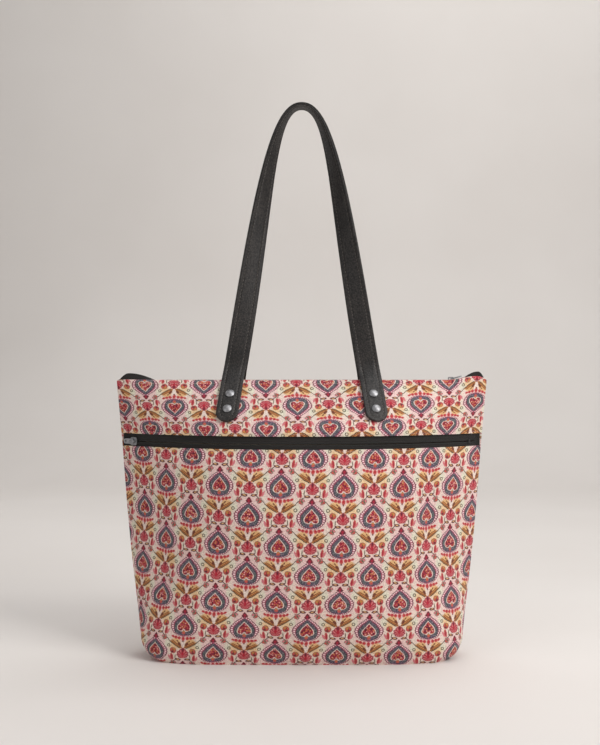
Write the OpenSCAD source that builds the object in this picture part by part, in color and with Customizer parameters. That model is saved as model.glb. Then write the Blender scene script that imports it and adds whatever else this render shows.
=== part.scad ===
// Zip-top tote bag in printed cloth, with a zipped front pocket and two riveted leather handles.
// Millimetres, +Z up, front towards -Y, origin on the floor under the middle of the base.

/* [Bag] */
// Width along the top edge, side seam to side seam
top_w = 432; // [400:1:480]
// Depth between the two top edges at the middle
top_d = 40; // [36:1:56]
// Height of the top edge above the floor
bag_h = 320; // [305:1:380]
// How much narrower the bag is at the pocket zip than along its top edge
waist_in = 14; // [8:1:30]
// Depth at the pocket zip
waist_d = 144; // [120:1:160]
// How much narrower the flat base is than the top edge
base_in = 96; // [72:1:140]
// Depth of the flat base
base_d = 92; // [70:1:130]
// How much narrower than the top edge the wall is just above its rounded foot
foot_in = 65; // [50:1:80]
// Height over which the foot is rounded
foot_round = 40; // [25:1:60]
// How far the sides bulge between the foot and the pocket zip
side_bulge = 2.5; // [0:0.5:5]
// Depth that the wall heads for as it leaves the base
foot_d = 144; // [120:1:180]
// Share of the wall's height where that depth steers it
foot_rise = 0.205; // [0.1:0.005:0.3]
// Depth that steers the wall below the pocket zip
belly_d = 210; // [180:1:230]
// Share of the wall's height where that depth steers it
belly_rise = 0.7125; // [0.6:0.0025:0.8]
// How square the plan of the base is across the width
square_w = 3; // [1:0.25:4]
// How square the plan of the base is across the depth
square_d = 3; // [1:0.25:4]
// How fast that squareness fades up the wall
square_fade = 6; // [2:0.5:8]
// How much flatter than a parabola the plan is at the pocket zip
flat_waist = 0.18; // [0.16:0.01:0.3]
// How much flatter the faces get from the pocket zip to the top edge
flat_top = 2; // [0:0.25:3]

/* [Cloth] */
// Thickness of the printed cloth with its backing
cloth_t = 1.2; // [0.8:0.1:1.6]
// Extra cloth at the side seams, as a multiple of the thickness
seam_bulk = 2; // [1:0.25:3]
// Width of the hem folded in along the top edge
hem_w = 8; // [5:0.5:11]
// Thickness of the lining and of the pocket's back wall
lining_t = 0.6; // [0.4:0.1:1]
// Distance from the face of the bag to the face of the lining
lining_in = 7.3; // [7.1:0.1:9]
// Distance from the bag's side seams to the pocket's side seams
pocket_side = 20; // [19:0.5:30]
// Distance from the pocket's side seams to the lining's side seams
lining_side_in = 2.5; // [2.2:0.1:4]
// Height over which the lining comes in from the base and from the top edge
lining_ease = 40; // [25:1:60]
// Clearance between layers of cloth and tape
layer_gap = 0.5; // [0.4:0.05:0.6]
// Height above the floor from which the pocket is open
pocket_floor_z = 12; // [10:1:90]
// Distance of the pocket's seam from the upper edge of its tape
sew_in = 1.5; // [1:0.5:2.5]

/* [Zips] */
// Distance from the top edge down to the line where the pocket zip's two tapes meet
pocket_zip_drop = 71; // [58:1:85]
// Height of pocket tape that shows above that line
pocket_show_up = 9; // [7:0.5:12]
// Height of pocket tape that shows below that line
pocket_show_down = 5.5; // [5.2:0.1:8]
// Width of pocket tape that is tucked behind the cloth at each edge
tape_tuck = 4; // [3:0.5:6]
// Thickness of the tapes
tape_t = 0.8; // [0.5:0.1:1]
// Gap between the two tapes of a zip
slit = 1; // [0.8:0.1:1.2]
// Diameter of each coil under the tapes
coil_d = 1.4; // [1:0.1:1.6]
// Clearance between a coil and its tape
coil_gap = 0.1; // [0.05:0.05:0.2]
// Distance from the pocket tape's end to the side seam
pocket_tape_end = 5.5; // [5:0.5:8]
// Distance from the left side seam to where the pocket slider rests
pocket_rest_in = 15; // [15:1:30]
// Distance from the right side seam to where the pocket slider stops
pocket_open_in = 22; // [22:1:40]
// Distance from the top tape's end to the side seam
top_tape_end = 11; // [11:0.5:16]
// Distance from the right side seam to where the top slider rests
top_rest_in = 42; // [41:1:66]
// Distance from the left side seam to where the top slider stops
top_open_in = 58; // [56:1:76]
// Height of the arched ends of the top tapes
arch_h = 9; // [5:0.5:12]
// Distance from the right side seam to where the right arch starts
arch_right_in = 32; // [26:0.5:33]
// Distance from the left side seam to where the left arch starts
arch_left_in = 48; // [31:0.5:49]
// Length of a slider
slider_l = 10; // [9:0.5:12]
// Width of a slider
slider_w = 9; // [8:0.25:9.5]
// Radius of a slider's corners
slider_round = 2; // [1:0.25:2.25]
// Length of a slider's inner plate
inner_plate_l = 6; // [5:0.5:7]
// Thickness of a slider's plates
plate_t = 1.2; // [0.8:0.1:1.4]
// Clearance between a slider's plates and the tapes or coils
slider_gap = 0.3; // [0.2:0.05:0.4]
// Thickness of the web that joins a slider's plates through the slit
web_t = 0.4; // [0.3:0.05:0.5]
// Length of the bridge on a slider that holds its pull
bridge_l = 6.4; // [6:0.1:7]
// Width of that bridge
bridge_w = 2; // [1.6:0.1:2.4]
// Height of that bridge
bridge_h = 3.5; // [3.3:0.1:4]
// Thickness of that bridge's top and legs
bridge_t = 1.1; // [0.9:0.05:1.2]
// Length of a pull from its pivot
pull_l = 13; // [11:0.5:16]
// Width of a pull
pull_w = 6; // [5.5:0.1:7]
// Thickness of a pull
pull_t = 1.2; // [1:0.1:1.4]
// Diameter of the hole in a pull's end
pull_hole_d = 2; // [1.5:0.1:2.5]
// Diameter of the bar that a pull turns on
bar_d = 1.4; // [1.2:0.05:1.6]
// Clearance between a pull and its bridge
pull_gap = 0.4; // [0.3:0.05:0.5]
// Angle at which the top pull rests on the arched tape
top_pull_tilt = 15; // [10:1:25]
// Angle at which the pocket pull lies off the tape
pocket_pull_tilt = 5; // [3:1:10]
// Length of a stop along its zip
stop_l = 2.5; // [2:0.25:3]
// Width of a stop
stop_w = 5; // [4:0.25:6]
// Thickness of a stop's plates
stop_t = 0.7; // [0.5:0.05:0.9]

/* [Handles] */
// Width of the straps
strap_w = 25; // [20:1:30]
// Thickness of the straps
strap_t = 4; // [3:0.25:5]
// Bevel along the straps' edges
strap_bevel = 0.8; // [0.4:0.1:1.2]
// Clearance between a strap and the cloth
strap_gap = 0.4; // [0.3:0.05:0.6]
// Place of a strap's lower rivet between the bag's middle and its side seam
tab_share = 0.384; // [0.32:0.002:0.51]
// Length of a strap below the top edge
tab_l = 47; // [44:1:50]
// Lean of the strap ends towards the middle
tab_lean = 6.5; // [3:0.5:10]
// Height of the front handle's middle above the top edge
handle_rise = 316; // [250:1:360]
// Extra height of the back handle, which bends tighter
back_extra = 7; // [0:1:12]
// Radius in which the straps straighten up at the top edge
shoulder_r = 30; // [20:1:40]
// Lean of the straps as they leave the top edge
leg_lean = 11; // [8:0.5:14]
// How far the straps run on before they turn in
leg_reach = 200; // [150:1:220]
// How far the bend at a handle's middle reaches to each side
bend_reach = 30; // [20:1:45]
// Distance from the bag's middle plane to the handles where they are highest
crown_y = 13.8; // [13.5:0.1:18]

/* [Rivets] */
// Diameter of the rivet heads
rivet_d = 10; // [8:0.5:12]
// Height of the rivet heads
rivet_h = 2.4; // [1.6:0.1:3]
// Height of the straight rim of the rivet heads
rivet_rim_h = 0.6; // [0.4:0.1:0.8]
// Diameter of the rivet posts
post_d = 3; // [2.5:0.1:4]
// Clearance around the posts
post_gap = 0.2; // [0.15:0.05:0.3]
// Diameter of the caps behind the cloth
back_cap_d = 8; // [7:0.5:9]
// Thickness of the caps behind the cloth
back_cap_t = 1.4; // [1.2:0.1:1.6]
// Floor of the caps behind the cloth
back_cap_floor = 0.5; // [0.4:0.1:0.7]
// Clearance between the rivets and what they hold
rivet_gap = 0.3; // [0.25:0.05:0.4]
// Distance of the upper rivet from the top edge
rivet_top = 18; // [15:0.5:20]
// Distance between the two rivets of a strap end
rivet_pitch = 16.5; // [14:0.5:18]

/* [Smoothness] */
// Facets across each face of the bag
face_n = 24; // [16:2:28]
// Facets up the wall from the base to the pocket zip
wall_n = 12; // [10:1:14]
// Facets along each leg of a handle
leg_n = 15; // [10:1:20]

/* [Hidden] */
$fn = 48;
// Facets of a full turn of the pocket zip's wide arc
ARC_FN = 720;
// Facets of the top edge's band in height, and of each arch and of the flat stretch of the top tapes
BAND_STEPS = 3;
ARCH_STEPS = 6;
FLAT_STEPS = 12;
// How much closer together the wall's rows get towards the foot
FOOT_EASE = 1.7;
// How fast the rounding of the foot fades with height
CORNER_FADE = 5;
// Half the step over which a normal is measured
NORMAL_STEP = 0.5;
CREAM = [0.86, 0.76, 0.68];
ROSE = [0.72, 0.50, 0.48];
BEIGE = [0.80, 0.74, 0.66];
BLACK = [0.06, 0.06, 0.07];
NICKEL = [0.78, 0.78, 0.80];

// Widths that follow the top edge's width
waist_w = top_w - waist_in;
base_w = top_w - base_in;
foot_w = top_w - foot_in;
tab_x = tab_share * top_w / 2;
// The edges of the slot that the pocket zip closes, and the end of the tape behind the band
pocket_zip_z = bag_h - pocket_zip_drop;
waist_lo = pocket_zip_z - pocket_show_down;
waist_hi = pocket_zip_z + pocket_show_up;
waist_top = waist_hi + tape_tuck;
// The wall's profile from the base to the pocket zip, as [half depth, height]
wall = [[base_d / 2, 0], [foot_d / 2, foot_rise * waist_lo],
    [belly_d / 2, belly_rise * waist_lo], [waist_d / 2, waist_lo]];
columns = [for (i = [0:face_n]) sin(90 * (2 * i / face_n - 1))];

function lerp(a, b, k) = a + (b - a) * k;
function unit(v) = v / norm(v);
function quad(a, b, c, d) = [[a, b, c], [a, c, d]];
function joined(lists) = [for (l = lists) each l];
function bezier(c, t) =
    pow(1 - t, 3) * c[0] + 3 * pow(1 - t, 2) * t * c[1] + 3 * (1 - t) * t * t * c[2] + pow(t, 3) * c[3];
function bezier_slope(c, t) =
    3 * (pow(1 - t, 2) * (c[1] - c[0]) + 2 * (1 - t) * t * (c[2] - c[1]) + t * t * (c[3] - c[2]));

// A row is one level of the bag: half width, half depth, height and the two exponents of its plan.
// This one is set inwards along the wall's own slope, by depth in the face and by side at the seam.
function wall_row(t, depth, side) = let (
    c = bezier(wall, t),
    along = unit(bezier_slope(wall, t)),
    square = pow(1 - c.y / waist_lo, square_fade))
    [wall_half_w(c.y) - side * along.y, c.x - depth * along.y, c.y + depth * along.x,
     2 + flat_waist + square_w * square, 1 + square_d * square];
// Half the bag's width at a height below the pocket zip.
function wall_half_w(z) = let (
    k = z / waist_lo,
    corner = (foot_w - base_w) / 2 * pow(max(0, 1 - z / foot_round), CORNER_FADE))
    lerp(foot_w, waist_w, k) / 2 + side_bulge * sin(180 * k) - corner;

// A row between the pocket zip and the top edge, where the band leans in.
band_lean = atan((waist_d - top_d) / 2 / (bag_h - waist_top));
function band_row(z, depth, side) = let (
    up = (z - waist_lo) / (bag_h - waist_lo),
    lean = max(0, (z - waist_top) / (bag_h - waist_top)),
    inset = lean > 0 ? depth / cos(band_lean) : depth)
    [lerp(waist_w, top_w, up) / 2 - side, lerp(waist_d, top_d, lean) / 2 - inset, z,
     2 + lerp(flat_waist, flat_top, lean), 1];

// The point of a row's front at a share s of its half width.
function on_row(row, s) =
    [row[0] * s, -row[1] * pow(max(0, 1 - pow(abs(s), row[3])), 1 / row[4]), row[2]];
function grid(rows) = [for (r = rows) [for (s = columns) on_row(r, s)]];

// The band's outer face and its outward normal.
function band_point(x, z) = let (row = band_row(z, 0, 0)) on_row(row, x / row[0]);
function band_normal(x, z) = let (e = NORMAL_STEP)
    unit(cross(band_point(x + e, z) - band_point(x - e, z), band_point(x, z + e) - band_point(x, z - e)));

// How far in the lining's outer face lies at a height: less near the base and near the top edge.
lining_near = cloth_t + layer_gap;
lining_side = pocket_side + lining_side_in;
function lining_depth(z) =
    lerp(lining_near, lining_in, max(0, min(1, z / lining_ease, (bag_h - z) / lining_ease)));

// Where row j of the wall lies on its profile: closer together towards the rounded foot.
function wall_t(j) = pow(j / wall_n, FOOT_EASE);

// Rows of the printed cloth, at its face (depth 0) or at its back (depth cloth_t).
function wall_cloth(depth) = [for (j = [0:wall_n]) wall_row(wall_t(j), depth, seam_bulk * depth)];
band_heights = [for (k = [0:BAND_STEPS - 1]) lerp(waist_top, bag_h, k / BAND_STEPS)];
function band_cloth(depth) = [for (z = band_heights) band_row(z, depth, seam_bulk * depth)];
function hem_cloth(depth) = let (top = band_row(bag_h, 0, 0), side = seam_bulk * cloth_t)
    [[top[0] - seam_bulk * depth, top[1] - depth, bag_h - depth, top[3], top[4]],
     [top[0] - side, top[1] - hem_w, bag_h - depth, top[3], top[4]]];

// Faces of a closed sheet between two like grids of points, front face first.
module sheet(outer, inner) {
    m = len(outer) - 1;
    n = len(outer[0]) - 1;
    back = (m + 1) * (n + 1);
    function at(j, i) = j * (n + 1) + i;
    faces = joined([
        for (j = [0:m - 1], i = [0:n - 1]) quad(at(j, i), at(j + 1, i), at(j + 1, i + 1), at(j, i + 1)),
        for (j = [0:m - 1], i = [0:n - 1])
            quad(back + at(j, i), back + at(j, i + 1), back + at(j + 1, i + 1), back + at(j + 1, i)),
        for (i = [0:n - 1]) quad(at(0, i), at(0, i + 1), back + at(0, i + 1), back + at(0, i)),
        for (i = [0:n - 1]) quad(at(m, i + 1), at(m, i), back + at(m, i), back + at(m, i + 1)),
        for (j = [0:m - 1]) quad(at(j + 1, 0), at(j, 0), back + at(j, 0), back + at(j + 1, 0)),
        for (j = [0:m - 1]) quad(at(j, n), at(j + 1, n), back + at(j + 1, n), back + at(j, n))]);
    polyhedron(joined(concat(outer, inner)), faces);
}

// A closed bag between two like stacks of rings, open at the top, with a flat floor.
module pouch(outer, inner) {
    m = len(outer) - 1;
    n = len(outer[0]);
    back = (m + 1) * n;
    function at(j, i) = j * n + i % n;
    faces = concat(joined([
        for (j = [0:m - 1], i = [0:n - 1]) quad(at(j, i), at(j + 1, i), at(j + 1, i + 1), at(j, i + 1)),
        for (j = [0:m - 1], i = [0:n - 1])
            quad(back + at(j, i), back + at(j, i + 1), back + at(j + 1, i + 1), back + at(j + 1, i)),
        for (i = [0:n - 1]) quad(at(m, i + 1), at(m, i), back + at(m, i), back + at(m, i + 1))]),
        [[for (i = [0:n - 1]) i], [for (i = [n - 1:-1:0]) back + i]]);
    polyhedron(joined(concat(outer, inner)), faces);
}

// The same row with its ends brought in.
function inset_side(row, side) = [row[0] - side, row[1], row[2], row[3], row[4]];

// One level of the lining, all the way round.
function ring(row) = concat(
    [for (i = [0:face_n - 1]) on_row(row, columns[i])],
    [for (i = [face_n:-1:1]) let (p = on_row(row, columns[i])) [p.x, -p.y, p.z]]);

module mirrored_back() {
    mirror([0, 1, 0]) children();
}

// Printed cloth below the pocket zip.
module front_panel() {
    color(CREAM) sheet(grid(wall_cloth(0)), grid(wall_cloth(cloth_t)));
}

// Printed cloth between the pocket zip and the top edge, with its hem.
module front_band() {
    function rows(depth) =
        concat([band_row(waist_hi, depth, seam_bulk * depth)], band_cloth(depth), hem_cloth(depth));
    color(ROSE) difference() {
        sheet(grid(rows(0)), grid(rows(cloth_t)));
        at_rivets() rivet_hole();
    }
}

// Printed cloth of the back, from the base to the top edge.
module back_panel() {
    function rows(depth) = concat(wall_cloth(depth), band_cloth(depth), hem_cloth(depth));
    color(CREAM) mirrored_back() difference() {
        sheet(grid(rows(0)), grid(rows(cloth_t)));
        at_rivets() rivet_hole();
    }
}

// Printed cloth of the base, inside the lower edges of the walls.
module base_panel() {
    outline = [for (p = ring(wall_row(0, lining_near, seam_bulk * lining_near))) [p.x, p.y]];
    color(ROSE) linear_extrude(cloth_t) polygon(outline);
}

// Plain cloth bag inside, sewn under the outer edges of the top tapes.
lining_top = bag_h - cloth_t - 2 * layer_gap - tape_t;
module lining() {
    function wall_lining(t, extra) = let (r = wall_row(t, lining_depth(bezier(wall, t).y) + extra, 0))
        [r[0] - lining_side - extra, r[1], max(r[2], lining_near + extra), r[3], r[4]];
    function rows(extra) = concat(
        [for (j = [0:wall_n]) wall_lining(wall_t(j), extra)],
        [for (z = concat(band_heights, [lining_top]))
            band_row(z, lining_depth(z) + extra, lining_side + extra)]);
    color(BEIGE) pouch([for (r = rows(0)) ring(r)], [for (r = rows(lining_t)) ring(r)]);
}

// Back wall of the front pocket, sewn to the upper tape and along the foot of the front panel.
module pocket_back() {
    sew_z = waist_top - sew_in;
    behind_tape = cloth_t + 2 * layer_gap + tape_t;
    free_z = pocket_zip_z + slider_w / 2 + layer_gap;
    function depth(z, extra) = lining_depth(z) - layer_gap - lining_t + extra;
    function rows(extra) = concat(
        [for (j = [0:wall_n]) let (z = bezier(wall, wall_t(j)).y) if (z >= pocket_floor_z)
            inset_side(wall_row(wall_t(j), depth(z, extra), 0), pocket_side + extra)],
        [band_row(free_z, depth(free_z, extra), pocket_side + extra),
         band_row(sew_z, behind_tape + extra, pocket_side + extra)]);
    color(BEIGE) sheet(grid(rows(0)), grid(rows(lining_t)));
}

// The pocket zip lies on a wide arc in plan, behind the edges of the cloth.
tape_in = cloth_t + layer_gap;
zip_half = waist_w / 2 - seam_bulk * tape_in;
zip_sag = waist_d / 2 - tape_in;
zip_r = (zip_half * zip_half + zip_sag * zip_sag) / (2 * zip_sag);
zip_y = zip_r - zip_sag;
pocket_end_x = waist_w / 2 - pocket_tape_end;
pocket_rest_x = waist_w / 2 - pocket_rest_in;
pocket_open_x = waist_w / 2 - pocket_open_in;
pocket_coil = [-pocket_rest_x - slider_l / 2, pocket_open_x + slider_l / 2];

// Stands its child on the pocket tape's face: x along the zip, y up, z outwards.
module on_pocket_zip(x) {
    translate([0, zip_y, pocket_zip_z]) rotate([0, 0, asin(x / zip_r)]) translate([0, -zip_r, 0])
        rotate([90, 0, 0]) children();
}

// Sweeps a section, drawn as [depth behind the tape's face, height above the zip line], along the arc.
module along_pocket_zip(from_x, to_x) {
    start = asin(from_x / zip_r);
    translate([0, zip_y, pocket_zip_z]) rotate([0, 0, start - 90])
        rotate_extrude(angle = asin(to_x / zip_r) - start, $fn = ARC_FN)
            translate([zip_r, 0]) mirror([1, 0]) children();
}

module pocket_zip_upper_tape() {
    color(BLACK) along_pocket_zip(-pocket_end_x, pocket_end_x)
        translate([0, slit / 2]) square([tape_t, pocket_show_up + tape_tuck - slit / 2]);
}

module pocket_zip_lower_tape() {
    color(BLACK) along_pocket_zip(-pocket_end_x, pocket_end_x)
        translate([0, -pocket_show_down - tape_tuck])
            square([tape_t, pocket_show_down + tape_tuck - slit / 2]);
}

// The two coils, behind the tapes.
module pocket_zip_coils() {
    color(BLACK) for (side = [-1, 1]) along_pocket_zip(pocket_coil[0], pocket_coil[1])
        translate([tape_t + coil_gap + coil_d / 2, side * (slit + coil_d) / 2]) circle(d = coil_d);
}

// A clamped stop at each end of the coils.
module pocket_zip_stops() {
    color(NICKEL) for (x = [pocket_coil[0] - stop_off, pocket_coil[1] + stop_off])
        on_pocket_zip(x) zip_stop();
}

module pocket_zip_slider() {
    color(NICKEL) on_pocket_zip(-pocket_rest_x) rotate([0, 0, 180]) zip_slider();
}

module pocket_zip_pull() {
    color(NICKEL) on_pocket_zip(-pocket_rest_x) rotate([0, 0, 180]) zip_pull(pocket_pull_tilt);
}

// A rounded bar of the plan given, with true round corners.
module rounded_plate(l, w, r, t) {
    linear_extrude(t) {
        square([l - 2 * r, w], center = true);
        square([l, w - 2 * r], center = true);
        for (x = [-1, 1], y = [-1, 1]) translate([x * (l / 2 - r), y * (w / 2 - r)]) circle(r);
    }
}

// A slider about the middle of its outer plate: z = 0 is the tape's face, it closes towards +x.
inner_face = -(tape_t + coil_gap + coil_d + slider_gap);
bar_z = slider_gap + plate_t + (bridge_h - bridge_t) / 2;
module zip_slider() {
    inner_x = (inner_plate_l - slider_l) / 2;
    translate([0, 0, slider_gap]) rounded_plate(slider_l, slider_w, slider_round, plate_t);
    translate([inner_x, 0, inner_face - plate_t])
        rounded_plate(inner_plate_l, slider_w, slider_round, plate_t);
    translate([inner_x, 0, inner_face - plate_t / 2]) linear_extrude(slider_gap + plate_t - inner_face)
        square([inner_plate_l - 2 * slider_round, web_t], center = true);
    translate([0, bridge_w / 2, slider_gap + plate_t]) rotate([90, 0, 0])
        linear_extrude(bridge_w) bridge_arch();
}

// Side view of the bridge: an arch with a window for the pull's bar.
module bridge_arch() {
    difference() {
        union() {
            translate([-bridge_l / 2, -plate_t / 2]) square([bridge_l, bridge_h + plate_t / 2 - bridge_t]);
            translate([-bridge_l / 2 + bridge_t, 0]) square([bridge_l - 2 * bridge_t, bridge_h]);
            for (x = [-1, 1])
                translate([x * (bridge_l / 2 - bridge_t), bridge_h - bridge_t]) circle(bridge_t);
        }
        translate([-bridge_l / 2 + bridge_t, 0]) square([bridge_l - 2 * bridge_t, bridge_h - bridge_t]);
    }
}

// A pull on the bar through the bridge, pointing along +x and lifted by tilt.
module zip_pull(tilt) {
    slot_w = bridge_w + 2 * pull_gap;
    reach = norm([bridge_l / 2, slider_gap + plate_t + bridge_h - bar_z]) + pull_gap;
    translate([0, 0, bar_z]) rotate([0, -tilt, 0]) {
        translate([0, 0, -pull_t / 2]) linear_extrude(pull_t) difference() {
            union() {
                translate([0, -pull_w / 2]) square([pull_l - pull_w / 2, pull_w]);
                translate([pull_l - pull_w / 2, 0]) circle(d = pull_w);
            }
            translate([0, -slot_w / 2]) square([reach, slot_w]);
            translate([pull_l - pull_w / 2, 0]) circle(d = pull_hole_d);
        }
        translate([0, pull_w / 2, 0]) rotate([90, 0, 0]) cylinder(d = bar_d, h = pull_w);
    }
}

// A stop that clips round both tapes past the end of the coils.
stop_gap = slider_gap / 2;
stop_off = slider_gap + stop_l / 2;
module zip_stop() {
    low = -tape_t - stop_gap - stop_t;
    for (z = [stop_gap, low]) translate([-stop_l / 2, -stop_w / 2, z]) cube([stop_l, stop_w, stop_t]);
    translate([-stop_l / 2, -web_t / 2, low + stop_t / 2]) cube([stop_l, web_t, stop_gap - low]);
}

// The top zip lies flat under the hems, between straight sides of the slit, and arches up at its ends.
tape_z = bag_h - cloth_t - layer_gap;
top_end_x = top_w / 2 - top_tape_end;
top_rest_x = top_w / 2 - top_rest_in;
top_open_x = top_w / 2 - top_open_in;
arch_right_x = top_w / 2 - arch_right_in;
arch_left_x = top_w / 2 - arch_left_in;
top_coil = [-top_open_x - slider_l / 2, top_rest_x + slider_l / 2];
tape_xs = concat(
    [for (k = [0:ARCH_STEPS - 1]) lerp(-top_end_x, -arch_left_x, k / ARCH_STEPS)],
    [for (k = [0:FLAT_STEPS]) lerp(-arch_left_x, arch_right_x, k / FLAT_STEPS)],
    [for (k = [1:ARCH_STEPS]) lerp(arch_right_x, top_end_x, k / ARCH_STEPS)]);
// How much of a half turn of a sine wave an arch follows, in degrees
ARCH_SWEEP = 128;
// Most of an arch's half width that the tape's thickness may take up
ARCH_FILL = 0.8;

// Height of the arch at x: it climbs from its start and falls off a little at the tape's end.
function arch(x) = let (start = x > 0 ? arch_right_x : arch_left_x)
    arch_h * sin(ARCH_SWEEP * max(0, (abs(x) - start) / (top_end_x - start)));

// One tape across its width, from the hem's fold to the slit, at its face (under 0) or at its back.
function tape_section(x, under) = let (
    top = band_row(bag_h, 0, 0),
    fold = band_row(bag_h, tape_in, seam_bulk * tape_in),
    hem = [top[0] - seam_bulk * cloth_t, top[1] - hem_w, 0, top[3], top[4]],
    y_fold = on_row(fold, x / fold[0]).y,
    y_hem = on_row(hem, x / hem[0]).y + layer_gap / 2,
    y_slit = -slit / 2,
    y_arch = (y_hem + y_slit) / 2,
    in = min(under / 2, (y_slit - y_arch) * ARCH_FILL),
    z = tape_z - under)
    [[x, y_fold, z], [x, y_hem + in, z], [x, y_arch + in, z + arch(x)], [x, y_slit, z + arch(x)]];

module top_tape() {
    function rows(under) = [for (x = tape_xs) tape_section(x, under)];
    color(BLACK) sheet(rows(0), rows(tape_t));
}

module top_zip_front_tape() {
    top_tape();
}

module top_zip_back_tape() {
    mirrored_back() top_tape();
}

module top_zip_coils() {
    color(BLACK) for (side = [-1, 1])
        translate([top_coil[0], side * (slit + coil_d) / 2, tape_z - tape_t - coil_gap - coil_d / 2])
            rotate([0, 90, 0]) cylinder(d = coil_d, h = top_coil[1] - top_coil[0]);
}

module top_zip_stops() {
    color(NICKEL) for (x = [top_coil[0] - stop_off, top_coil[1] + stop_off])
        translate([x, 0, tape_z]) zip_stop();
}

module top_zip_slider() {
    color(NICKEL) translate([top_rest_x, 0, tape_z]) zip_slider();
}

module top_zip_pull() {
    color(NICKEL) translate([top_rest_x, 0, tape_z]) zip_pull(top_pull_tilt);
}

// The middle line of a strap end on the band, on the right of the front.
rivet_z = bag_h - rivet_top;
function tab_axis_x(z) = tab_x - tan(tab_lean) * (z - rivet_z + rivet_pitch);
function tab_point(z) = let (x = tab_axis_x(z))
    band_point(x, z) + band_normal(x, z) * (strap_gap + strap_t / 2);

// One cross section of a strap: w is its half width, n the way its face looks, along the way it runs.
function strap_section(c, along, n, w) = let (
    side = unit(cross(along, n)),
    face = cross(side, along),
    e = min(strap_bevel, w / 2),
    h = strap_t / 2,
    outline = [[w, -h + e], [w, h - e], [w - e, h], [-w + e, h],
        [-w, h - e], [-w, -h + e], [-w + e, -h], [w - e, -h]])
    [for (p = outline) c + p[0] * side + p[1] * face];

// The round end and the straight stretch of a strap on the cloth.
tab_low = bag_h - tab_l;
tab_straight = tab_low + strap_w / 2 * cos(band_lean);
ROUND_STEPS = [20, 38, 56, 74, 90];
STRAIGHT_STEPS = [0.25, 0.5, 0.75, 1];
SHOULDER_STEPS = [0.75, 0.5, 0.25, 0];
function tab_section(z, w) = let (x = tab_axis_x(z))
    strap_section(tab_point(z), unit(tab_point(z + 1) - tab_point(z - 1)), band_normal(x, z), w);
tab_sections = concat(
    [for (a = ROUND_STEPS) tab_section(lerp(tab_straight, tab_low, cos(a)), strap_w / 2 * sin(a))],
    [for (k = STRAIGHT_STEPS) tab_section(lerp(tab_straight, bag_h, k), strap_w / 2)]);

// The bend above the top edge, where the strap's lean falls from the band's to none.
function shoulder(lean) = let (foot = tab_point(bag_h), rise = shoulder_r * (sin(band_lean) - sin(lean)))
    [foot.x - rise * tan(leg_lean), foot.y + shoulder_r * (cos(lean) - cos(band_lean)), foot.z + rise];
shoulder_sections = [for (k = SHOULDER_STEPS) let (lean = k * band_lean)
    strap_section(shoulder(lean), unit([-tan(leg_lean) * cos(lean), sin(lean), cos(lean)]),
        [0, -cos(lean), sin(lean)], strap_w / 2)];

// The leg of a strap from that bend to the handle's middle, turning its face inwards as it climbs.
TURN = 90;
// How early on the way up the strap turns
TURN_EASE = 1.6;
function leg(rise) = let (foot = shoulder(0), crown = [0, -crown_y, bag_h + rise])
    [foot, [foot.x - leg_reach * sin(leg_lean), (foot.y - crown_y) / 2, foot.z + leg_reach * cos(leg_lean)],
     crown + [bend_reach, 0, 0], crown];
function leg_section(c, t) = let (
    along = unit(bezier_slope(c, t)),
    front = unit([0, -1, 0] + along * along.y),
    inwards = unit([-along.z, 0, along.x]),
    turn = TURN * (1 - pow(1 - t, TURN_EASE)))
    strap_section(bezier(c, t), along, cos(turn) * front + sin(turn) * inwards, strap_w / 2);

// A whole strap: the right half, then the same sections mirrored on the way down.
module strap(rise) {
    c = leg(rise);
    half = concat(tab_sections, shoulder_sections, [for (k = [1:leg_n]) leg_section(c, k / leg_n)]);
    last = len(half) - 1;
    rings = concat(half, [for (k = [last - 1:-1:0]) [for (p = half[k]) [-p.x, p.y, p.z]]]);
    n = len(rings[0]);
    m = len(rings) - 1;
    function at(k, i) = k * n + i % n;
    faces = concat(
        [for (k = [0:m - 1], i = [0:n - 1]) each
            [[at(k, i), at(k + 1, i + 1), at(k + 1, i)], [at(k, i), at(k, i + 1), at(k + 1, i + 1)]]],
        [[for (i = [n - 1:-1:0]) i], [for (i = [0:n - 1]) at(m, i)]]);
    difference() {
        polyhedron([for (r = rings) each r], faces);
        at_rivets() rivet_hole();
    }
}

module front_handle() {
    color(BLACK) strap(handle_rise);
}

module back_handle() {
    color(BLACK) mirrored_back() strap(handle_rise + back_extra);
}

// Stands its child on the band at each rivet, z outwards from the cloth's face.
module at_rivets() {
    for (side = [-1, 1], z = [rivet_z, rivet_z - rivet_pitch]) {
        x = side * tab_axis_x(z);
        n = band_normal(x, z);
        translate(band_point(x, z)) rotate([0, acos(n.z), atan2(n.y, n.x)]) children();
    }
}

module rivet_hole() {
    cylinder(d = post_d + 2 * post_gap, h = 2 * (rivet_seat + strap_t), center = true);
}

// A domed head on the strap with its post through the strap and the cloth.
rivet_seat = strap_gap + strap_t + rivet_gap;
cap_face = -cloth_t - 2 * rivet_gap;
module rivet() {
    dome_h = rivet_h - rivet_rim_h;
    dome_r = (rivet_d * rivet_d / 4 + dome_h * dome_h) / (2 * dome_h);
    post_low = cap_face - back_cap_t + back_cap_floor + post_gap;
    translate([0, 0, rivet_seat]) rotate_extrude() {
        square([rivet_d / 2, rivet_rim_h]);
        intersection() {
            translate([0, rivet_h - dome_r]) circle(dome_r, $fn = 4 * $fn);
            translate([0, rivet_rim_h / 2]) square([rivet_d / 2, rivet_h]);
        }
    }
    translate([0, 0, post_low]) cylinder(d = post_d, h = rivet_seat + rivet_rim_h / 2 - post_low);
}

// The cap pressed on the post behind the cloth.
module rivet_cap() {
    difference() {
        translate([0, 0, cap_face - back_cap_t]) cylinder(d = back_cap_d, h = back_cap_t);
        translate([0, 0, cap_face - back_cap_t + back_cap_floor])
            cylinder(d = post_d + 2 * post_gap, h = back_cap_t);
    }
}

module front_rivets() {
    color(NICKEL) at_rivets() rivet();
}

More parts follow.
